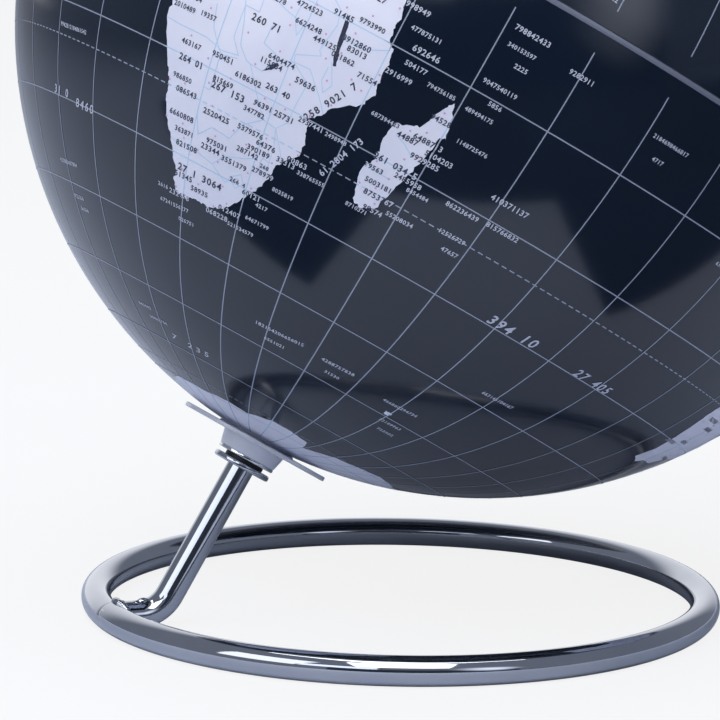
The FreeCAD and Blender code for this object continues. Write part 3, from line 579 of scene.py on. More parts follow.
        (128.2, -15), (130.2, -13), (132.6, -11.6), (136.5, -12), (135.6, -14.9), (139.5, -17.6), (140.9, -17),
        (141.6, -12.8), (142.5, -10.8), (143.8, -14.3), (145.4, -15.5), (146.3, -19), (149.2, -21.3),
        (150.8, -23.5), (153.2, -26), (153.5, -28.5), (152.3, -32.3), (150.2, -36.5), (149.9, -37.5),
        (146.4, -39), (143.6, -38.8), (140.5, -38), (138.6, -35.6), (138, -34), (136.9, -35.2),
        (137.8, -32.8), (135.8, -34.8), (134, -32.8), (131.2, -31.5), (126, -32.3), (123.8, -34),
        (119.5, -34.2), (117.9, -35), (115.1, -34.3), (115.8, -32), (114.2, -27.5), (113.4, -25.2)],
    "antarctica": [
        (-180, -85.2), (-180, -78.3), (-165, -78.3), (-155, -77.5), (-146, -75.5), (-130, -74), (-114, -74),
        (-102, -73.3), (-90, -72.9), (-76, -71), (-68, -67.3), (-62, -64.3), (-57.5, -63.4), (-61, -66),
        (-63, -69), (-61.5, -73.5), (-70, -76.5), (-62, -78), (-42, -78), (-30, -76.3), (-20, -73.5),
        (-10, -71), (0, -69.8), (15, -69.9), (30, -69), (39, -69.6), (50, -67), (58, -67), (67, -67.9),
        (70, -71.5), (74, -70), (80, -67.9), (88, -66.8), (100, -65.5), (112, -66), (122, -66.8), (135, -66.1),
        (145, -67), (155, -69), (165, -70.7), (170, -71.8), (165, -75), (163.5, -78), (180, -78.3),
        (180, -85.2), (120, -85.2), (60, -85.2), (0, -85.2), (-60, -85.2), (-120, -85.2)],
    "newGuinea": [
        (131, -0.8), (134.1, -0.8), (135, -3.3), (137.9, -1.6), (144.5, -3.9), (147.8, -6), (150.7, -10.4),
        (147.2, -9.5), (144, -7.7), (142.5, -9.3), (138.5, -8.3), (138, -5.6), (133, -4.1), (131.9, -2.8)],
    "borneo": [
        (109, 1.5), (111.3, 2.7), (113.9, 4.6), (116.8, 7), (119.1, 5), (117.9, 2.4), (118.9, 1), (117.4, 0.2),
        (116.2, -3.8), (114.6, -4.1), (111, -3), (109.2, -0.5)],
    "sumatra": [
        (95.3, 5.6), (98, 4.5), (100.5, 2.2), (103.8, -1), (106, -3.1), (105.8, -5.8), (104.4, -5.8),
        (101, -2.6), (98.7, 1.7)],
    "java": [(105.2, -6.8), (106.1, -6), (110.5, -6.7), (114.4, -7.8), (114.3, -8.7), (108.5, -7.8)],
    "sulawesi": [
        (120, 0.8), (124.9, 1.6), (120.9, 0.4), (121.3, -1), (123.3, -1), (121.6, -2), (122.7, -4.4),
        (121, -2.9), (120.4, -5.6), (119.5, -5.5), (118.8, -2.7)],
    "luzon": [(120.3, 16), (120.7, 18.5), (122.2, 18.4), (121.6, 16), (124, 13), (122, 13.7), (120.6, 14)],
    "mindanao": [(122, 7), (123.8, 8.5), (125.5, 9.7), (126.5, 7.3), (125.4, 5.7), (124, 6.8)],
    "honshu": [
        (130.9, 34), (132.7, 35.4), (136, 35.8), (137, 37.4), (139.5, 38.5), (140.2, 41.2), (141.5, 41.3),
        (142, 39.5), (140.9, 36.5), (140.2, 35.2), (137, 34.7), (135.7, 33.5), (133.5, 34.3)],
    "kyushu": [(129.8, 33), (131, 33.8), (131.9, 32.8), (131.2, 31.3), (130.2, 31.3)],
    "hokkaido": [(140, 41.6), (141.2, 43.3), (141.8, 45.5), (145.2, 43.6), (143.2, 42), (141, 42.5)],
    "sakhalin": [(142, 46.2), (142.3, 50), (142.7, 54.3), (143.3, 51.5), (143.6, 49), (143, 46.6)],
    "ceylon": [(79.8, 8), (80.2, 9.6), (81.8, 7.5), (81.2, 6.2), (80.1, 6)],
    "britain": [
        (-5.5, 50.1), (-3.4, 51.4), (-5.2, 51.9), (-4.2, 53), (-3, 53.9), (-4.9, 54.8), (-5.6, 56.5),
        (-5, 58.6), (-3.1, 58.5), (-2, 57.5), (-1.6, 55.5), (0.2, 53.2), (1.7, 52.6), (1.3, 51.3), (-1.5, 50.7)],
    "ireland": [(-10, 51.8), (-9.8, 54.2), (-7.4, 55.3), (-5.8, 54.5), (-6.3, 52.3)],
    "iceland": [(-24, 65.5), (-22, 66.4), (-16, 66.4), (-13.7, 65.1), (-18.8, 63.4), (-22.6, 63.9)],
    "spitsbergen": [(11, 79), (16, 80), (24, 80.2), (21, 78.5), (16.7, 76.7)],
    "novaya": [(51.6, 71.6), (55.5, 75), (68, 76.9), (58, 74), (57.3, 70.8)],
    "baffin": [
        (-89, 73), (-81, 73.6), (-76, 72.5), (-68, 70), (-62, 66.3), (-65, 65), (-64.7, 63), (-68, 62.2),
        (-73.5, 64.4), (-78, 64.5), (-73, 68), (-79, 70), (-88, 70.6)],
    "victoria": [(-117, 73), (-105.5, 72.8), (-101.5, 69.5), (-106, 68.6), (-116, 69.4)],
    "ellesmere": [(-90, 76.5), (-88, 79), (-92, 81.2), (-75, 83), (-62, 82.4), (-72, 79.2), (-79, 76.4)],
    "banks": [(-125.5, 72.2), (-121, 74.5), (-115.7, 73.5), (-122.5, 71.1)],
    "cuba": [(-84.9, 21.9), (-82.5, 23), (-77.5, 21.9), (-74.2, 20.2), (-77.6, 19.9), (-78.5, 21.2)],
    "hispaniola": [(-74.4, 18.5), (-72.8, 19.9), (-69.9, 19.7), (-68.4, 18.6), (-71.5, 17.7)],
    "newfoundland": [(-59.2, 47.7), (-57.3, 50.6), (-55.6, 51.5), (-53, 48.6), (-53.2, 46.7), (-56, 46.9)],
    "northCape": [
        (172.7, -34.5), (175.5, -36.7), (178.4, -37.7), (177, -39.5), (175.2, -41.5), (173.8, -39.4), (174.8, -38)],
    "southCape": [
        (172.7, -40.6), (174.2, -41.6), (172.8, -43.8), (170.8, -45.8), (168.5, -46.6), (166.5, -45.9), (170.5, -43)],
    "tasmania": [(144.7, -40.8), (148.2, -40.8), (148, -42.9), (146.3, -43.5), (145.3, -42.3)],
    "fireland": [(-68.3, -52.9), (-65.2, -54.7), (-68.5, -55.3), (-71.5, -54.2)],
    "falklands": [(-61, -51.5), (-57.9, -51.5), (-59.5, -52.2)],
    "kerguelen": [(68.8, -48.9), (70.4, -49), (70, -49.7), (68.9, -49.6)],
    "sardinia": [(8.2, 39), (8.3, 41), (9.7, 41), (9.6, 39.2)],
    "sicily": [(12.4, 37.8), (15.4, 38.2), (15.1, 36.7)],
    "crete": [(23.6, 35.5), (26.2, 35.2), (24, 35)],
    "cyprus": [(32.4, 35), (34.4, 35.6), (33.5, 34.7)],
    "taiwan": [(120.1, 23.2), (121.5, 25.2), (120.9, 22)],
    "hainan": [(108.7, 19.2), (110.6, 20), (109.8, 18.4)],
}

lakes = {
    "victoria": [(31.8, -0.6), (32.6, 0.2), (33.9, 0.3), (34.2, -0.7), (33.6, -2.2), (32.4, -2.6), (31.8, -1.8)],
    "tanganyika": [(29.1, -3.4), (29.5, -3.5), (29.8, -5), (30.6, -6.8), (31.2, -8.5), (30.8, -8.8), (30.2, -7.4),
                   (29.4, -6)],
    "malawi": [(33.9, -9.5), (34.4, -9.9), (34.8, -11.6), (35, -13.2), (35.3, -14.2), (34.9, -14.3), (34.5, -13.4),
               (34.2, -11.8)],
    "kariba": [(27, -17.95), (27.7, -17), (28.6, -16.5), (28.9, -16.7), (28.3, -17.2), (27.6, -17.6)],
    "caspian": [(49.2, 37.6), (51.5, 36.8), (53.8, 37), (53, 39.8), (53, 41.5), (51, 43.6), (53, 46.5), (51, 47),
                (47.5, 45.5), (47.4, 43.3), (49.5, 40.5)],
    "aral": [(58.4, 44.2), (58.8, 46.4), (61.2, 46.2), (60, 43.8)],
    "baikal": [(103.8, 51.6), (106, 53.2), (109.5, 55.8), (109.9, 54.8), (107, 52.4)],
    "superior": [(-92, 46.8), (-89, 48.4), (-86.2, 48.5), (-84.8, 46.6), (-87.5, 46.6)],
    "michigan": [(-87.8, 42), (-87.8, 44.8), (-85.4, 45.7), (-86.4, 43.2), (-87, 41.8)],
    "huron": [(-83.8, 45.8), (-80.5, 45.8), (-81.6, 43.4), (-83.2, 44)],
    "erie": [(-83.2, 41.8), (-79, 42.8), (-81, 41.8)],
    "winnipeg": [(-98.8, 53.4), (-97, 52.4), (-96.6, 50.6), (-97.6, 51.6)],
    "greatBear": [(-124.5, 66), (-121, 66.8), (-118.5, 65.4), (-121.5, 65)],
    "ladoga": [(30.6, 60), (31, 61.4), (32.6, 60.8), (31.8, 60.1)],
    "balkhash": [(73.8, 45.6), (75, 46.7), (78.8, 46.6), (75.4, 46.2)],
}

borders = [  # borders and rivers, in the same pale blue
    [(16.5, -28.6), (18, -28.9), (20, -28.4), (20, -24.8), (20, -22), (21, -22), (21, -18.3), (23.4, -17.9)],
    [(11.8, -17.3), (13.9, -17.4), (18.4, -17.4), (21, -17.9), (23.4, -17.6)],
    [(20, -24.8), (20.8, -26.9), (22.7, -25.5), (25.6, -25.7), (26.9, -23.7), (29.4, -22.2), (31.3, -22.4),
     (32.8, -24.2), (33.5, -25.2)],
    [(29.4, -22.2), (27.7, -20.5), (25.3, -17.8), (27, -17.9), (28.8, -16.1), (30.4, -15.7)],
    [(31.3, -22.4), (32.5, -21.3), (32.7, -18.9), (33, -17), (30.4, -15.7)],
    [(30.4, -15.7), (30.2, -15), (33.2, -14), (32.7, -13.6), (33.4, -10.8), (32.9, -9.4), (30.8, -8.3)],
    [(23.4, -17.6), (22, -16.2), (22, -13), (24, -13), (23.9, -10.9), (27, -11.7), (29.8, -12.2), (29.4, -13.4),
     (28.4, -11.9), (28.6, -9.5), (30.8, -8.3)],
    [(34.6, -11.5), (37.5, -11.6), (40.4, -10.5)],
    [(34.6, -14), (35.8, -16), (35.1, -17), (34.4, -16), (34.5, -14.6)],
    [(30.4, -15.7), (32.6, -15.6), (34.9, -17.5), (36.2, -18.8)],
    [(31, -25.9), (32, -26), (32, -27.2), (31, -27.2), (30.8, -26.4), (31, -25.9)],
    [(32, -26), (31.9, -24.2), (31.3, -22.4)],
    [(27.1, -29.6), (28.7, -28.7), (29.4, -29.6), (28.3, -30.5), (27.1, -29.6)],
    [(20, -28.4), (22, -28.9), (24, -29.2), (26.5, -30.4), (28.5, -29.3)],
    [(24, -29.2), (25.5, -27.8), (28.5, -26.9), (29.8, -26.4)],
    [(18.3, -14), (18.9, -16.2), (20.6, -17.9), (21.6, -18.5)],
    [(21.7, -12.4), (22.6, -14.5), (23.2, -16.6), (24.7, -17.7), (25.3, -17.8)],
    [(26.2, -13.6), (26, -15.4), (27.8, -15.8), (28.8, -16.1)],
    [(29.6, -4.4), (30.8, -2.3), (30.5, -1), (33.9, -1), (37.6, -3), (39.2, -4.7)],
    [(29.6, -4.4), (29, -2.8), (29.8, -1.3), (29.6, 0.9), (31.2, 2.3), (30.8, 3.5)],
    [(12.3, -6), (16.6, -5.9), (17, -8), (21.8, -7.3), (22, -11.2), (23.9, -10.9)],
    [(12.4, -6), (15.3, -4.3), (16.2, -2.1), (18, 0.5), (21, 2), (24.2, 1.9), (25.2, -0.5), (26, -5)],
    [(13, -4.6), (14.5, -4.8), (15.3, -4.3)],
    [(14, -2.2), (11.5, -2.5), (11.4, 1), (13.3, 2.2), (16, 2.2), (18.6, 3.6), (18.6, 4.4), (22.5, 4.2), (27.4, 5),
     (30.8, 3.5), (34, 4.2), (36, 4.4), (41.9, 4)],
    [(41, -1.7), (41, 2.8), (41.9, 4), (45, 5), (48, 8), (43.3, 10.5)],
    [(33.2, 0.4), (31.4, 2.3), (31.7, 5), (30.5, 9.5), (32.5, 15.6), (33.9, 19.5), (30.6, 19), (31, 22),
     (32.9, 25.7), (31, 30)],
    [(25, 31), (25, 22), (37, 22)], [(24, 20), (24, 15.5), (22.5, 11), (24, 8.7), (27.4, 5)],
    [(9.5, 30.2), (10, 24.5), (14.2, 22.5), (24, 20)], [(14.2, 22.5), (15.5, 16.9), (13.4, 13.7),
     (15, 10), (15.2, 7.3)],
    [(-10, 9.5), (-7, 13.5), (-3, 16.8), (0.5, 16.5), (3.4, 12), (6.5, 7.5), (6.2, 4.6)],
    [(-8.7, 27.4), (-4.8, 25), (3.2, 19), (4.2, 16.8), (0.2, 15)], [(12, 23.5), (5.8, 19.5), (3.2, 19)],
    [(48.1, -18.4), (46.6, -17.6), (45.2, -17.2)], [(47, -21.4), (45.4, -21.4), (44, -21.3)],
    [(-123, 49), (-95, 49), (-89, 48), (-83, 46), (-79, 43.3), (-74.7, 45), (-67.8, 46)],
    [(-117.1, 32.5), (-111, 31.3), (-106.5, 31.7), (-103, 29), (-97.3, 26)], [(-141, 69.6), (-141, 60.3)],
    [(-95, 47), (-91, 43), (-90, 38), (-91, 33), (-89.6, 29.4)], [(-112, 46), (-104, 48), (-97, 43),
     (-90.4, 38.6)],
    [(-50.8, 0), (-58, -3), (-65, -3), (-73, -4.5)], [(-60, 5), (-60, 1), (-66, 1), (-70, -4),
     (-73, -10), (-65, -11), (-58, -17),
     (-58, -22), (-54, -25), (-57, -30), (-53.4, -33.7)],
    [(-69.5, -18), (-67, -22), (-69, -27), (-70, -34), (-71.5, -42), (-72, -50), (-69, -52.2)],
    [(129, -15), (129, -31.5)], [(138, -17), (138, -26), (129, -26)], [(141, -26), (141, -38)],
    [(141, -29), (149, -29), (153, -28.4)], [(138, -26), (141, -26), (141, -29)],
    [(66.5, 66.4), (69, 61), (72, 58), (80, 54), (84, 52)], [(82.5, 71), (87, 66), (90, 60), (93, 56), (94, 52)],
    [(127, 72.6), (125, 66), (129, 61), (118, 59), (107, 54)], [(121.5, 31.5), (112, 30), (104, 29),
     (99, 32), (92, 34)],
    [(119, 37.6), (111, 35), (108, 40), (103, 36), (98, 35)], [(49, 46.4), (46, 49), (49, 55), (38, 58)],
    [(87, 49), (98, 52), (108, 49.5), (120, 53), (127, 50), (131, 47.6), (131, 43)],
    [(87, 49), (80, 45), (74, 40), (79, 35), (81, 30), (89, 28), (97, 28), (98, 24), (101, 21.6), (108, 21.6)],
    [(48, 42), (40, 44)], [(61, 25.2), (61, 31), (61, 36), (53.8, 37.4)], [(61, 36), (67, 37.2), (71, 37), (74, 37)],
    [(44.8, 37), (48, 31), (48, 30)], [(36, 36.4), (44.8, 37), (48.8, 38.4)], [(35, 29.5), (39, 32),
     (47, 29.2)],
    [(28, 46), (22, 48), (15, 51), (14, 54)], [(30, 60), (28, 56), (24, 54), (23, 52), (24, 48)],
    [(40, 49), (34, 52), (32, 54), (28, 56)], [(8, 48), (7, 46), (7, 44)], [(-1.8, 43.4), (3, 42.5)],
    [(-7, 42), (-7, 37.2)],
    [(12, 60), (12, 64), (16, 68), (24, 69)], [(30, 62), (30, 69.6)],
]


def layMesh(name, bm, lift, finishName):
    # The sheet is laid on the ball: x is longitude and y is latitude, in degrees.
    for v in bm.verts:
        v.co = outward(v.co.x, v.co.y) * (printRadius + lift) * mm
    return printPiece(name, bm, finishName)


def printPiece(name, bm, finishName):
    # The ball's own normals, so that the print shades as the smooth ball does.
    normals = [v.co.normalized() for v in bm.verts]
    bm.normal_update()
    inward = [f for f in bm.faces if f.calc_center_median().dot(f.normal) < 0]
    bmesh.ops.reverse_faces(bm, faces=inward)
    bm.transform(ballFrame)
    turn = ballFrame.to_3x3()
    piece = makePiece(name, bm, finish[finishName], 180)
    piece.data.normals_split_custom_set_from_vertices([tuple(turn @ n) for n in normals])
    return settle(piece, "ball", "map_print")


def flatShapes(outlines, wiggle, cuts, seed):
    # Straight runs between the given points, roughened by up to wiggle degrees.
    bm = bmesh.new()
    for outline in outlines:
        bm.faces.new([bm.verts.new((longitude, latitude, 0)) for longitude, latitude in outline])
    bm.normal_update()
    coastal = [e for e in bm.edges if min(abs(v.co.x) for v in e.verts) < 179.9
               and min(v.co.y for v in e.verts) > -85]
    given = {tuple(v.co) for v in bm.verts}
    bmesh.ops.subdivide_edges(bm, edges=coastal, cuts=cuts)
    for v in bm.verts:
        if tuple(v.co) not in given:
            spot = v.co * 1.9 + Vector((seed, 0, 0))
            v.co += Vector((noise.noise(spot), noise.noise(spot + Vector((0, 0, 40))), 0)) * wiggle
    bmesh.ops.triangulate(bm, faces=bm.faces[:], ngon_method="EAR_CLIP")
    for f in bm.faces[:]:
        if f.calc_area() < 1e-9:
            bm.faces.remove(f)
    return bm


def sliceSheet(bm, step):
    # Cut small enough to follow the ball.
    for direction in (0, 1):
        low = min(v.co[direction] for v in bm.verts)
        high = max(v.co[direction] for v in bm.verts)
        at = math.ceil(low / step) * step
        normal = Vector((1, 0, 0)) if direction == 0 else Vector((0, 1, 0))
        while at < high:
            crossed = [f for f in bm.faces if min(v.co[direction] for v in f.verts) < at
                       and max(v.co[direction] for v in f.verts) > at]
            if crossed:
                bmesh.ops.bisect_plane(bm, geom=withEdges(crossed), dist=1e-6, plane_co=normal * at, plane_no=normal)
            at += step


def cutAway(bm, low, high):
    # Takes away the sheet between two latitudes.
    for at in (low, high):
        bmesh.ops.bisect_plane(bm, geom=bm.verts[:] + bm.edges[:] + bm.faces[:], dist=1e-7,
                               plane_co=(0, at, 0), plane_no=(0, 1, 0))
    bmesh.ops.delete(bm, geom=[f for f in bm.faces if low < f.calc_center_median().y < high], context="FACES")


bandLatitudes = (-0.235, 0.34)  # the printed latitudes at the edges of the strip and its groove
land = flatShapes(coasts.values(), 0.3, 4, mapFit["seed"])
landTree = BVHTree.FromBMesh(land)


def placeOf(direction):
    # The printed longitude and latitude under a direction from the ball's centre.
    fromPole = 90 - abs(math.degrees(math.asin(max(-1, min(1, direction.z / direction.length)))))
    growth = mapFit["growth"] / 90
    printed = (math.sqrt(mapFit["polar"] ** 2 + 4 * growth * fromPole) - mapFit["polar"]) / (2 * growth)
    longitude = math.degrees(math.atan2(direction.y, direction.x)) - mapFit["turn"]
    return longitude, math.copysign(90 - printed, direction.z)


def isLand(longitude, latitude):
    longitude = (longitude + 180) % 360 - 180
    return landTree.ray_cast(Vector((longitude, latitude, 1)), Vector((0, 0, -1)))[0] is not None


sliceSheet(land, 2)
cutAway(land, *bandLatitudes)
for name, keepNorth in (("southLand", False), ("northLand", True)):
    half = land.copy()
    bmesh.ops.delete(half, geom=[f for f in half.faces if (f.calc_center_median().y > 0) != keepNorth],
                     context="FACES")
    layMesh(name, half, mapFit["land"], "landPrint")
land.free()
print("land laid")

lakeSheet = flatShapes(lakes.values(), 0.16, 2, 3)
sliceSheet(lakeSheet, 1)
cutAway(lakeSheet, *bandLatitudes)
layMesh("lakes", lakeSheet, mapFit["border"], "lakePrint")


def addRibbon(bm, route, width, lift, spacing=1.0, ink=None):
    # A thin strip along straight runs in longitude and latitude.
    for (fromLon, fromLat), (toLon, toLat) in zip(route, route[1:]):
        steps = max(1, math.ceil(math.hypot(toLon - fromLon, toLat - fromLat) / spacing))
        made = bmesh.ops.create_grid(bm, x_segments=steps, y_segments=1, size=0.5)["verts"]
        for v in made:
            share, side = v.co.x + 0.5, v.co.y * 2
            longitude = fromLon + (toLon - fromLon) * share
            latitude = fromLat + (toLat - fromLat) * share
            here = outward(longitude, latitude)
            step = 0.01
            ahead = outward(longitude + (toLon - fromLon) * step, latitude + (toLat - fromLat) * step)
            across = here.cross(ahead - here).normalized()
            v.co = (here * (printRadius + lift) + across * side * width / 2) * mm
            if ink is not None:
                v[ink] = 1.0 if isLand(longitude, latitude) else 0.0


lines = {"width": 0.32, "thin": 0.2, "dash": 0.62, "shortOfEquator": 2.0, "spacing": 1.0, "dashSpacing": 2,
         "reach": 80, "quarterReach": 88, "southEnd": -85, "tropics": (-23.44, 23.44), "circles": (-66.56, 66.56),
         "tropicDashes": 300, "circleDashes": 150}
bm = bmesh.new()
overLand = bm.verts.layers.float.new("overLand")
for longitude in range(-180, 180, 10):
    north, south = lines["reach"], -lines["reach"]
    if longitude % 90 == 0:
        north, south = lines["quarterReach"], lines["southEnd"]
    for low, high in ((south, -lines["shortOfEquator"]), (lines["shortOfEquator"], north)):
        addRibbon(bm, [(longitude, low), (longitude, high)], lines["width"], mapFit["grid"],
                  lines["spacing"], overLand)
for latitude in list(range(-80, 0, 10)) + list(range(10, 90, 10)):
    addRibbon(bm, [(-180, latitude), (180, latitude)], lines["width"], mapFit["grid"],
              lines["spacing"] / max(0.3, math.cos(math.radians(trueLatitude(latitude)))), overLand)
for latitude in (lines["circles"][0], *lines["tropics"], lines["circles"][1]):
    dashes = lines["tropicDashes" if latitude in lines["tropics"] else "circleDashes"]
    for i in range(dashes):
        start = -180 + 360 * i / dashes
        addRibbon(bm, [(start, latitude), (start + 360 / dashes * lines["dash"], latitude)], lines["width"],
                  mapFit["grid"], lines["dashSpacing"], overLand)
printPiece("gridLines", bm, "gridPrint")
print("grid laid")

bm = bmesh.new()
for route in borders:
    addRibbon(bm, route, lines["thin"], mapFit["border"], lines["spacing"] * 0.9)
printPiece("bordersAndRivers", bm, "borderPrint")
print("borders laid")


def makeDigits():
    # Flat meshes of the ten digits at size 1, a little bolder than the plain font.
    made = {}
    for digit in "0123456789":
        curve = bpy.data.curves.new("digit", "FONT")
        curve.body = digit
        curve.resolution_u = 2
        curve.offset = 0.022
        holder = bpy.data.objects.new("digit", curve)
        bpy.context.scene.collection.objects.link(holder)
        bpy.context.view_layer.update()
        made[digit] = bpy.data.meshes.new_from_object(holder.evaluated_get(bpy.context.evaluated_depsgraph_get()))
        bpy.data.objects.remove(holder)
        bpy.data.curves.remove(curve)
    return made


digits = makeDigits()
digitHeight = max(v.co.y for v in digits["8"].vertices)
digitAdvance = max(v.co.x for v in digits["8"].vertices) * 1.12

darkNumbers, paleNumbers, townDots = bmesh.new(), bmesh.new(), bmesh.new()
taken = []  # centre, half width and half height of each number, in millimetres


def hasRoom(centre, east, north, halfWidth, halfHeight):
    for other, otherWidth, otherHeight in taken:
        away = (centre - other) * printRadius
        if abs(away.dot(east)) < halfWidth + otherWidth and abs(away.dot(north)) < halfHeight + otherHeight:
            return False
    return True


def addNumber(number, longitude, latitude, height, turn=0, spacing=1.0, centred=False, slant=0.0, push=False):
    # Digits run east along the parallel unless they are turned; height is in millimetres.
    here = outward(longitude, latitude)
    east = Vector((0, 0, 1)).cross(here).normalized()
    north = here.cross(east)
    turn = math.radians(turn)
    along = east * math.cos(turn) + north * math.sin(turn)
    upward = north * math.cos(turn) - east * math.sin(turn)
    scale = height / digitHeight
    length = len(number) * digitAdvance * spacing * scale
    pen = -length / 2 if centred else 0
    middle = (here * printRadius + along * (pen + length / 2)).normalized()
    wide = (length * abs(math.cos(turn)) + height * abs(math.sin(turn))) / 2
    tall = (length * abs(math.sin(turn)) + height * abs(math.cos(turn))) / 2
    if not push and not hasRoom(middle, east, north, wide, tall):
        return False
    if turn == 0:
        taken.append((middle, wide, tall))
    else:
        for share in (-0.4, -0.2, 0, 0.2, 0.4):
            spot = (middle * printRadius + along * length * share).normalized()
            taken.append((spot, height * 0.6, height * 0.6))
    radius = printRadius + mapFit["figure"]
    for digit in number:
        if digit != " ":
            spot = here * printRadius + along * (pen + digitAdvance * scale / 2)
            bm = darkNumbers if isLand(*placeOf(spot)) else paleNumbers
            before = len(bm.verts)
            bm.from_mesh(digits[digit])
            bm.verts.ensure_lookup_table()
            for v in bm.verts[before:]:
                x, y = v.co.x * scale + pen + v.co.y * slant * scale, (v.co.y - digitHeight / 2) * scale
                v.co = (here * printRadius + along * x + upward * y).normalized() * radius * mm
        pen += digitAdvance * spacing * scale
    return True


towns = [  # longitude, latitude: a dot with a small number beside it
    (13.2, -8.8), (13.5, -12.4), (15.7, -12.8), (17.7, -14.7), (12.2, -15.2), (13.5, -14.9), (17.1, -22.6),
    (14.6, -22.9), (18.1, -26.6), (15.2, -26.6), (18.7, -28), (23.4, -20), (27.5, -21.2), (25.9, -24.7),
    (21.3, -28.5), (24.8, -28.7), (28, -26.2), (28.2, -25.4), (30.7, -29.6), (27.6, -32.7), (25.6, -33.8),
    (18.5, -33.8), (28.6, -20.2), (31, -17.8), (28.3, -15.4), (25.9, -17.6), (28.2, -12.8), (33.8, -14),
    (35, -15.8), (32.4, -25.9), (35.3, -23.8), (34.8, -19.6), (36.7, -17.7), (39.2, -15.1), (35.2, -12.9),
    (40.3, -13), (33.5, -9), (35.7, -10.7), (38.9, -6.9), (35.8, -6.2), (27.5, -11.3), (25.5, -10.4), (22.4, -5.9),
    (39.4, -4), (15.3, -4.4), (19.8, -9.6), (20, -12), (23.6, -15.2), (22, -23.4), (23.5, -26.2), (19.2, -31.4),
    (22.4, -32.2), (26.4, -31), (29.6, -28.2), (30.6, -23.8), (31.6, -20.2), (19.5, -19.2), (20.6, -21.4),
    (16.2, -17.9), (32.6, -12), (37.6, -14.6), (31.2, -7), (36.6, -8.6), (17.2, -10.6), (30.2, -10),
    (47.4, -18.9), (46.4, -16.2), (48.8, -18), (43.9, -23.2), (46.9, -21.4), (48.9, -13.2), (46.8, -24.4),
    (44.6, -20.4), (48.2, -15.6), (46, -22.9),
]
seaPlaces = [  # longitude, latitude, digits, height
    (15, -34.4, 4, 1.1), (15.6, -36.1, 11, 1.1), (19.5, -37.4, 6, 1.1), (28.4, -34.8, 9, 1.1),
    (31, -33, 8, 1.1), (32, -31, 4, 1.1), (33.6, -28.4, 7, 1.1), (36, -25.4, 9, 1.1),
    (36.6, -24, 5, 1.1), (34.8, -17.2, 4, 1.1), (37.4, -20.4, 7, 1.1), (41.4, -16.4, 9, 1.1),
    (42.2, -9.3, 6, 1.6), (42.2, -10.8, 6, 1.3), (45.6, -11.6, 9, 1.1), (41.2, -6, 8, 1.2),
    (41, -7.8, 9, 1.2), (42, -3.2, 6, 1.2), (51, -3.4, 9, 1.4), (58.6, -4.4, 7, 1.3),
    (51.2, -5, 9, 1.1), (53, -6.4, 4, 1.2), (50.8, -8.8, 10, 1.2), (52.6, -10.4, 4, 1.2),
    (50.6, -11.8, 9, 1.1), (51.6, -14.8, 10, 1.1), (51, -17, 8, 1.1), (50.4, -18.6, 5, 1.1),
    (49.4, -21.4, 7, 1.1), (48.6, -24.6, 8, 1.2), (43.4, -25.8, 7, 1.1), (58.6, -17.8, 9, 1.5),
    (54.4, -20.6, 9, 1.3), (60, -20.4, 9, 1.3), (55.4, -23.4, 8, 1.2), (57, -25, 5, 1.2),
    (70.8, -5.4, 13, 1.1), (72.2, -7.2, 4, 1.1), (37.2, -46.2, 15, 1.2), (39.8, -48, 7, 1.1),
    (51.6, -46.2, 10, 1.2), (53.4, -48, 5, 1.1), (66.2, -47.2, 12, 1.1), (69.5, -51, 8, 1.1),
    (71.5, -53, 6, 1.1), (-12.6, -37.6, 12, 1.1), (-9.8, -41.6, 6, 1.1), (-8.4, -43, 5, 1.1),
    (3.4, -54.4, 6, 1.1), (6.2, -56, 8, 1.1), (-9.6, -22.4, 16, 1.1), (57, 2.8, 6, 1.2),
    (73, 4.2, 8, 1.2), (76, 1.2, 5, 1.1), (77.2, -38, 12, 1.1), (88, -12, 8, 1.1), (96, -12.2, 9, 1.1),
]
wideFigures = [  # longitude, latitude, number, height, turn, spacing, slant: these stand on land
    (17.2, -20.2, "264 01", 1.7, 0, 1.0, 0.0), (23.6, -21.3, "267 153", 1.8, 0, 1.05, 0.0),
    (29.9, -18.9, "263 40", 1.5, 0, 1.0, 0.0), (25.4, -13.6, "260 71", 1.8, 0, 1.05, 0.0),
    (22.4, -31.3, "27 1 3064", 1.9, 0, 1.05, 0.0), (18.2, -12.2, "244 06", 1.8, 0, 1.1, 0.0),
    (23, -3.6, "243 180", 1.9, 0, 1.3, 0.0), (35.2, -5, "255 02", 1.8, 0, 1.1, 0.0),
    (36.4, -17.4, "258 9021 7", 1.8, 58, 1.15, 0.0), (28.5, -29.7, "266 4", 1.2, 0, 1.0, 0.0),
    (31.6, -26.7, "268", 1.1, 0, 1.0, 0.0), (46.9, -19.9, "261 034 5", 1.7, 0, 1.0, 0.0),
]
seaFigures = [  # the same for the sea
    (72.5, -29.2, "394 10", 2.9, 0, 1.15, 0.2), (88.5, -29.4, "27 405", 2.6, 0, 1.15, 0.2),
    (40.4, -21.8, "61 2804 173", 1.7, 66, 1.0, 0.0), (-9, -29.4, "31 0", 2.3, 0, 1.2, 0.2),
    (-2.2, -29.9, "8460", 2.4, 0, 1.2, 0.2), (-30, 25, "31 0 8460", 3, 0, 1.6, 0.2),
    (-150, 15, "10 911 35", 3.2, 0, 1.8, 0.2), (-130, -30, "10 803 42", 3.2, 0, 1.8, 0.2),
    (160, 30, "9 780 21", 3, 0, 1.6, 0.2), (20, -58, "7 235", 2.2, 0, 1.6, 0.2), (-60, 31, "84 72", 2.2, 0, 1.3, 0.2),
    (0, 84, "5 450", 2, 0, 1.5, 0.2), (66, 15, "4 652", 2, 0, 1.2, 0.2), (90, 12, "4 694", 2, 0, 1.2, 0.2),
]

dice = random.Random(mapFit["seed"])


def someDigits(count):
    return "".join(dice.choice("1234567890") for i in range(count))


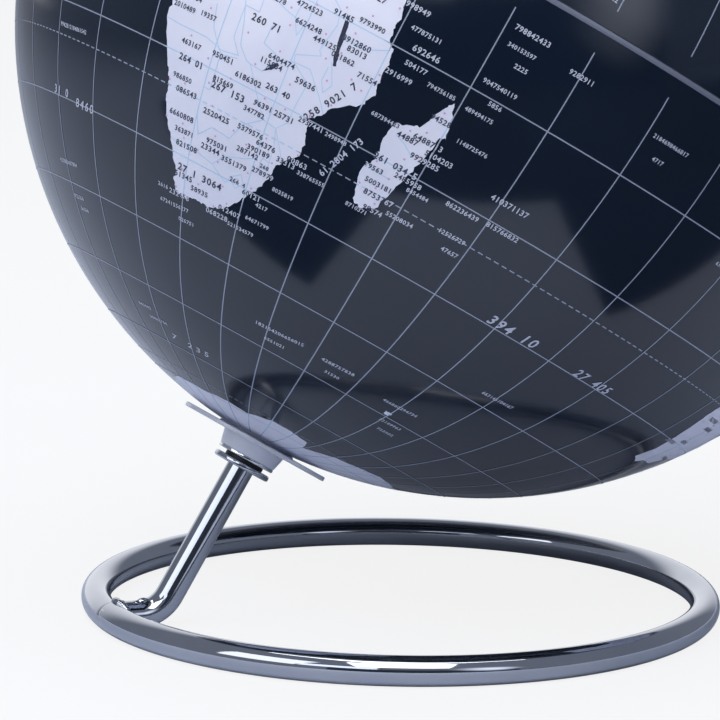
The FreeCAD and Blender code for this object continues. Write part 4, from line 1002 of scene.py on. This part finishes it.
def addTown(longitude, latitude, height, digitsWanted):
    here = outward(longitude, latitude)
    number = someDigits(digitsWanted)
    first = dice.choice((-1, 1))
    for side in (first, -first):
        if addNumber(number, longitude + (0.35 if side > 0 else -1.2), latitude + 0.75 * side, height):
            break
    dot = bmesh.ops.create_circle(townDots, cap_ends=True, segments=7, radius=0.3)["verts"]
    east = Vector((0, 0, 1)).cross(here).normalized()
    north = here.cross(east)
    for v in dot:
        v.co = (here * (printRadius + mapFit["town"]) + east * v.co.x + north * v.co.y) * mm


for place in wideFigures + seaFigures:
    addNumber(place[2], place[0], place[1], place[3], place[4], place[5], True, place[6], True)
for longitude, latitude in towns:
    addTown(longitude, latitude, dice.uniform(1.3, 1.5), dice.choice((5, 6, 7)))
for longitude, latitude, count, height in seaPlaces:
    addNumber(someDigits(count), longitude, latitude, height)

# The rest of the world, a row of towns every few degrees.
scatter = {"from": -58.0, "to": 76, "rowStep": 2.9, "west": -178, "east": 176, "townStep": 4.3, "numberReach": 2.6,
           "landShare": 0.72, "seaShare": 0.03, "placed": (8, 52, -36, -2.5), "openSea": (-60, 110)}
latitude = scatter["from"]
while latitude < scatter["to"]:
    longitude = scatter["west"] + dice.random() * 3
    stretch = 1 / max(0.25, math.cos(math.radians(trueLatitude(latitude))))
    while longitude < scatter["east"]:
        spot = (longitude + dice.uniform(-0.8, 0.8), latitude + dice.uniform(-0.7, 0.7))
        west, east, south, north = scatter["placed"]  # the part whose towns are listed above
        if not (south < spot[1] < north and west < spot[0] < east) and abs(spot[1]) > 1.6:
            ahead = spot[0] + scatter["numberReach"] * stretch
            lonely = not scatter["openSea"][0] < spot[0] < scatter["openSea"][1]
            if isLand(*spot) and isLand(ahead, spot[1]) and dice.random() < scatter["landShare"]:
                addTown(*spot, dice.uniform(1.15, 1.4), dice.choice((5, 6, 7)))
            elif not isLand(*spot) and dice.random() < scatter["seaShare"] and lonely:
                addTown(*spot, 1.1, dice.choice((4, 6)))
        longitude += scatter["townStep"] * stretch
    latitude += scatter["rowStep"]

printPiece("landFigures", darkNumbers, "darkFigures")
printPiece("seaFigures", paleNumbers, "paleFigures")
printPiece("townDots", townDots, "townPrint")
for mesh in digits.values():
    bpy.data.meshes.remove(mesh)
print("figures laid")

# The pieces inside keep their own shapes.
innerFinish = {
    "axle_pin": "plainSteel", "axle_washer": "plainSteel", "spring_washer": "plainSteel", "lock_nut": "plainSteel",
    "south_shell": "mouldedShell", "north_shell": "mouldedShell", "joining_ring": "mouldedShell",
    "lower_bush": "whiteAcetal", "upper_bush": "whiteAcetal",
    "backing_plate": "frostedCollar", "clamp_nut": "frostedCollar",
}
for name, look in innerFinish.items():
    for place in nodes[name].material_slots:
        place.link = "OBJECT"
        place.material = finish[look]

# Studio.
studio = {
    "air": shade(236, 238, 244), "airForDiffuse": 0.37, "roomGrey": shade(128, 134, 148),
    "wallWay": (0.15, 0.97, 0.12), "wallEdge": (0.71, 0.98), "wallBright": 1.2, "lampColour": (0.98, 0.985, 1),
    "floorWhite": 0.86, "floor": shade(198, 207, 227), "card": shade(40, 46, 58), "cardHeight": 0.0008,
    "cardTurn": -20.8, "window": shade(226, 234, 250), "windowBright": 1.9, "windowSpread": (0.42, 0.04),
    "paneTurn": -43, "paneBright": 2.2, "aim": (0, 0, 0.14),
    "key": dict(azimuth=-20, elevation=44, distance=1.6, size=0.9, power=8),
    "left": dict(azimuth=-56, elevation=50, distance=1.7, size=1.2, power=8, glossy=False),
    "side": dict(azimuth=-73, elevation=27, distance=1.5, size=0.8, power=3.5),
    "top": dict(azimuth=10, elevation=86, distance=1.5, size=1.2, power=16),
}


def makeAir():
    # Polished things see a grey room with a pale wall behind; everything else sees even air.
    world = bpy.data.worlds.new("studioAir")
    world.use_nodes = True
    tree = world.node_tree
    make, link = tree.nodes.new, tree.links.new
    backdrop = tree.nodes["Background"]
    path = make("ShaderNodeLightPath")
    where = make("ShaderNodeTexCoord")
    facing = make("ShaderNodeVectorMath")
    facing.operation = "DOT_PRODUCT"
    facing.inputs[1].default_value = Vector(studio["wallWay"]).normalized()
    link(where.outputs["Generated"], facing.inputs[0])
    wall = make("ShaderNodeMapRange")
    wall.interpolation_type = "SMOOTHSTEP"
    wall.inputs["From Min"].default_value, wall.inputs["From Max"].default_value = studio["wallEdge"]
    link(facing.outputs["Value"], wall.inputs["Value"])
    room = make("ShaderNodeMix")
    room.data_type = "RGBA"
    room.inputs["A"].default_value = (*studio["roomGrey"], 1)
    room.inputs["B"].default_value = (*[c * studio["wallBright"] for c in studio["air"]], 1)
    link(wall.outputs["Result"], room.inputs["Factor"])
    polished = make("ShaderNodeMix")
    polished.data_type = "RGBA"
    polished.inputs["A"].default_value = (*[c * studio["airForDiffuse"] for c in studio["air"]], 1)
    link(path.outputs["Is Glossy Ray"], polished.inputs["Factor"])
    link(room.outputs["Result"], polished.inputs["B"])
    clear = make("ShaderNodeMath")
    clear.operation = "MAXIMUM"
    link(path.outputs["Is Camera Ray"], clear.inputs[0])
    link(path.outputs["Is Transmission Ray"], clear.inputs[1])
    seen = make("ShaderNodeMix")
    seen.data_type = "RGBA"
    seen.inputs["B"].default_value = (1, 1, 1, 1)
    link(clear.outputs[0], seen.inputs["Factor"])
    link(polished.outputs["Result"], seen.inputs["A"])
    link(seen.outputs["Result"], backdrop.inputs["Color"])
    bpy.context.scene.world = world


def makeFloor():
    bm = bmesh.new()
    bmesh.ops.create_grid(bm, x_segments=8, y_segments=8, size=4)
    material = makeFinish("paleFloor", dict(colour=studio["floor"], roughness=0.6, smudge=0.02, scratch=0, size=0.2))
    tree = material.node_tree
    shader, out = tree.nodes["Principled BSDF"], tree.nodes["Material Output"]
    glow = tree.nodes.new("ShaderNodeEmission")
    glow.inputs["Strength"].default_value = 1
    path = tree.nodes.new("ShaderNodeLightPath")
    share = tree.nodes.new("ShaderNodeMath")
    share.operation = "MULTIPLY"
    share.inputs[1].default_value = studio["floorWhite"]
    mix = tree.nodes.new("ShaderNodeMixShader")
    tree.links.new(path.outputs["Is Camera Ray"], share.inputs[0])
    tree.links.new(share.outputs[0], mix.inputs["Fac"])
    tree.links.new(shader.outputs[0], mix.inputs[1])
    tree.links.new(glow.outputs[0], mix.inputs[2])
    tree.links.new(mix.outputs[0], out.inputs["Surface"])
    makePiece("studioFloor", bm, material)


def makeCard(name, centre, size, turn, material, upright=False):
    # A card that only polished things show.
    bm = bmesh.new()
    bmesh.ops.create_grid(bm, x_segments=1, y_segments=1, size=0.5)
    bmesh.ops.scale(bm, vec=(size[0], size[1], 1), verts=bm.verts[:])
    if upright:
        bmesh.ops.rotate(bm, cent=(0, 0, 0), matrix=Matrix.Rotation(math.pi / 2, 3, "X"), verts=bm.verts[:])
    bmesh.ops.translate(bm, vec=centre, verts=bm.verts[:])
    bmesh.ops.rotate(bm, cent=(0, 0, 0), matrix=Matrix.Rotation(turn, 3, "Z"), verts=bm.verts[:])
    card = makePiece(name, bm, material)
    card.visible_camera = card.visible_diffuse = card.visible_shadow = card.visible_transmission = False


def makeLamp(name, place):
    lamp = bpy.data.lights.new(name, "AREA")
    lamp.shape = "SQUARE"
    lamp.size = place["size"]
    lamp.energy = place["power"]
    lamp.color = studio["lampColour"]
    holder = bpy.data.objects.new(name, lamp)
    holder.visible_glossy = place.get("glossy", True)
    turn, rise = math.radians(place["azimuth"]), math.radians(place["elevation"])
    out = Vector((math.sin(turn) * math.cos(rise), -math.cos(turn) * math.cos(rise), math.sin(rise)))
    aim = Vector(studio["aim"])
    holder.location = aim + out * place["distance"]
    holder.rotation_euler = (-out).to_track_quat("-Z", "Y").to_euler()
    bpy.context.scene.collection.objects.link(holder)


def makeGlow(name, colour, strength):
    material = makeFinish(name, dict(colour=(0.01, 0.01, 0.012), roughness=0.9))
    shader = material.node_tree.nodes["Principled BSDF"]
    shader.inputs["Emission Color"].default_value = (*colour, 1)
    shader.inputs["Emission Strength"].default_value = strength
    return material


def makeWindowGlow(centre):
    # A patch of light that fades out all round.
    material = makeGlow("windowCard", studio["window"], studio["windowBright"])
    tree = material.node_tree
    shader, out = tree.nodes["Principled BSDF"], tree.nodes["Material Output"]
    where = tree.nodes.new("ShaderNodeTexCoord")
    away = tree.nodes.new("ShaderNodeVectorMath")
    away.operation = "DISTANCE"
    away.inputs[1].default_value = centre
    fade = tree.nodes.new("ShaderNodeMapRange")
    fade.interpolation_type = "SMOOTHSTEP"
    fade.inputs["From Min"].default_value, fade.inputs["From Max"].default_value = studio["windowSpread"]
    clear = tree.nodes.new("ShaderNodeBsdfTransparent")
    mix = tree.nodes.new("ShaderNodeMixShader")
    tree.links.new(where.outputs["Object"], away.inputs[0])
    tree.links.new(away.outputs["Value"], fade.inputs["Value"])
    tree.links.new(fade.outputs["Result"], mix.inputs["Fac"])
    tree.links.new(clear.outputs[0], mix.inputs[1])
    tree.links.new(shader.outputs[0], mix.inputs[2])
    tree.links.new(mix.outputs[0], out.inputs["Surface"])
    return material


makeAir()
makeFloor()
darkCard = makeGlow("darkCard", studio["card"], 1)
cardTurn, low = math.radians(studio["cardTurn"]), studio["cardHeight"]
makeCard("leftTableEdge", (-0.40, -0.815, low), (0.61, 1.37), cardTurn, darkCard)
makeCard("rightTableEdge", (0.693, -0.815, low), (1.2, 1.37), cardTurn, darkCard)
makeCard("frontTableEdge", (0, -0.895, low), (0.187, 1.21), cardTurn, darkCard)
makeCard("darkRoom", (0.3, -1.5, 0.25), (2, 0.5), cardTurn, darkCard, upright=True)
makeCard("brightPane", (0, -1.5, 0.69), (0.75, 0.38), math.radians(studio["paneTurn"]),
         makeGlow("paneCard", studio["window"], studio["paneBright"]), upright=True)
windowAt = Vector((0.74, -1.2, 0.47))
makeCard("paleWindow", windowAt, (1, 0.8), cardTurn,
         makeWindowGlow(Matrix.Rotation(cardTurn, 3, "Z") @ windowAt), upright=True)
for name in ("key", "left", "side", "top"):
    makeLamp(name + "Lamp", studio[name])

camera = {"aim": (-0.01406, -0.00301, 0.07024), "azimuth": -20.78, "elevation": 9.91, "distance": 1.1,
          "roll": 0.976, "lens": 206}


def makeCamera():
    turn, rise, roll = (math.radians(camera[k]) for k in ("azimuth", "elevation", "roll"))
    back = Vector((math.sin(turn) * math.cos(rise), -math.cos(turn) * math.cos(rise), math.sin(rise)))
    right = Vector((0, 0, 1)).cross(back).normalized()
    up = back.cross(right)
    across = right * math.cos(roll) + up * math.sin(roll)
    upwards = up * math.cos(roll) - right * math.sin(roll)
    eye = bpy.data.objects.new("studioCamera", bpy.data.cameras.new("studioCamera"))
    eye.data.lens = camera["lens"]
    eye.data.sensor_width = 36
    eye.data.clip_start = 0.01
    eye.matrix_world = Matrix.Translation(Vector(camera["aim"]) + back * camera["distance"]) @ Matrix(
        (across, upwards, back)).transposed().to_4x4()
    bpy.context.scene.collection.objects.link(eye)
    bpy.context.scene.camera = eye


makeCamera()
bpy.context.scene.view_settings.view_transform = "Standard"
print("studio ready")
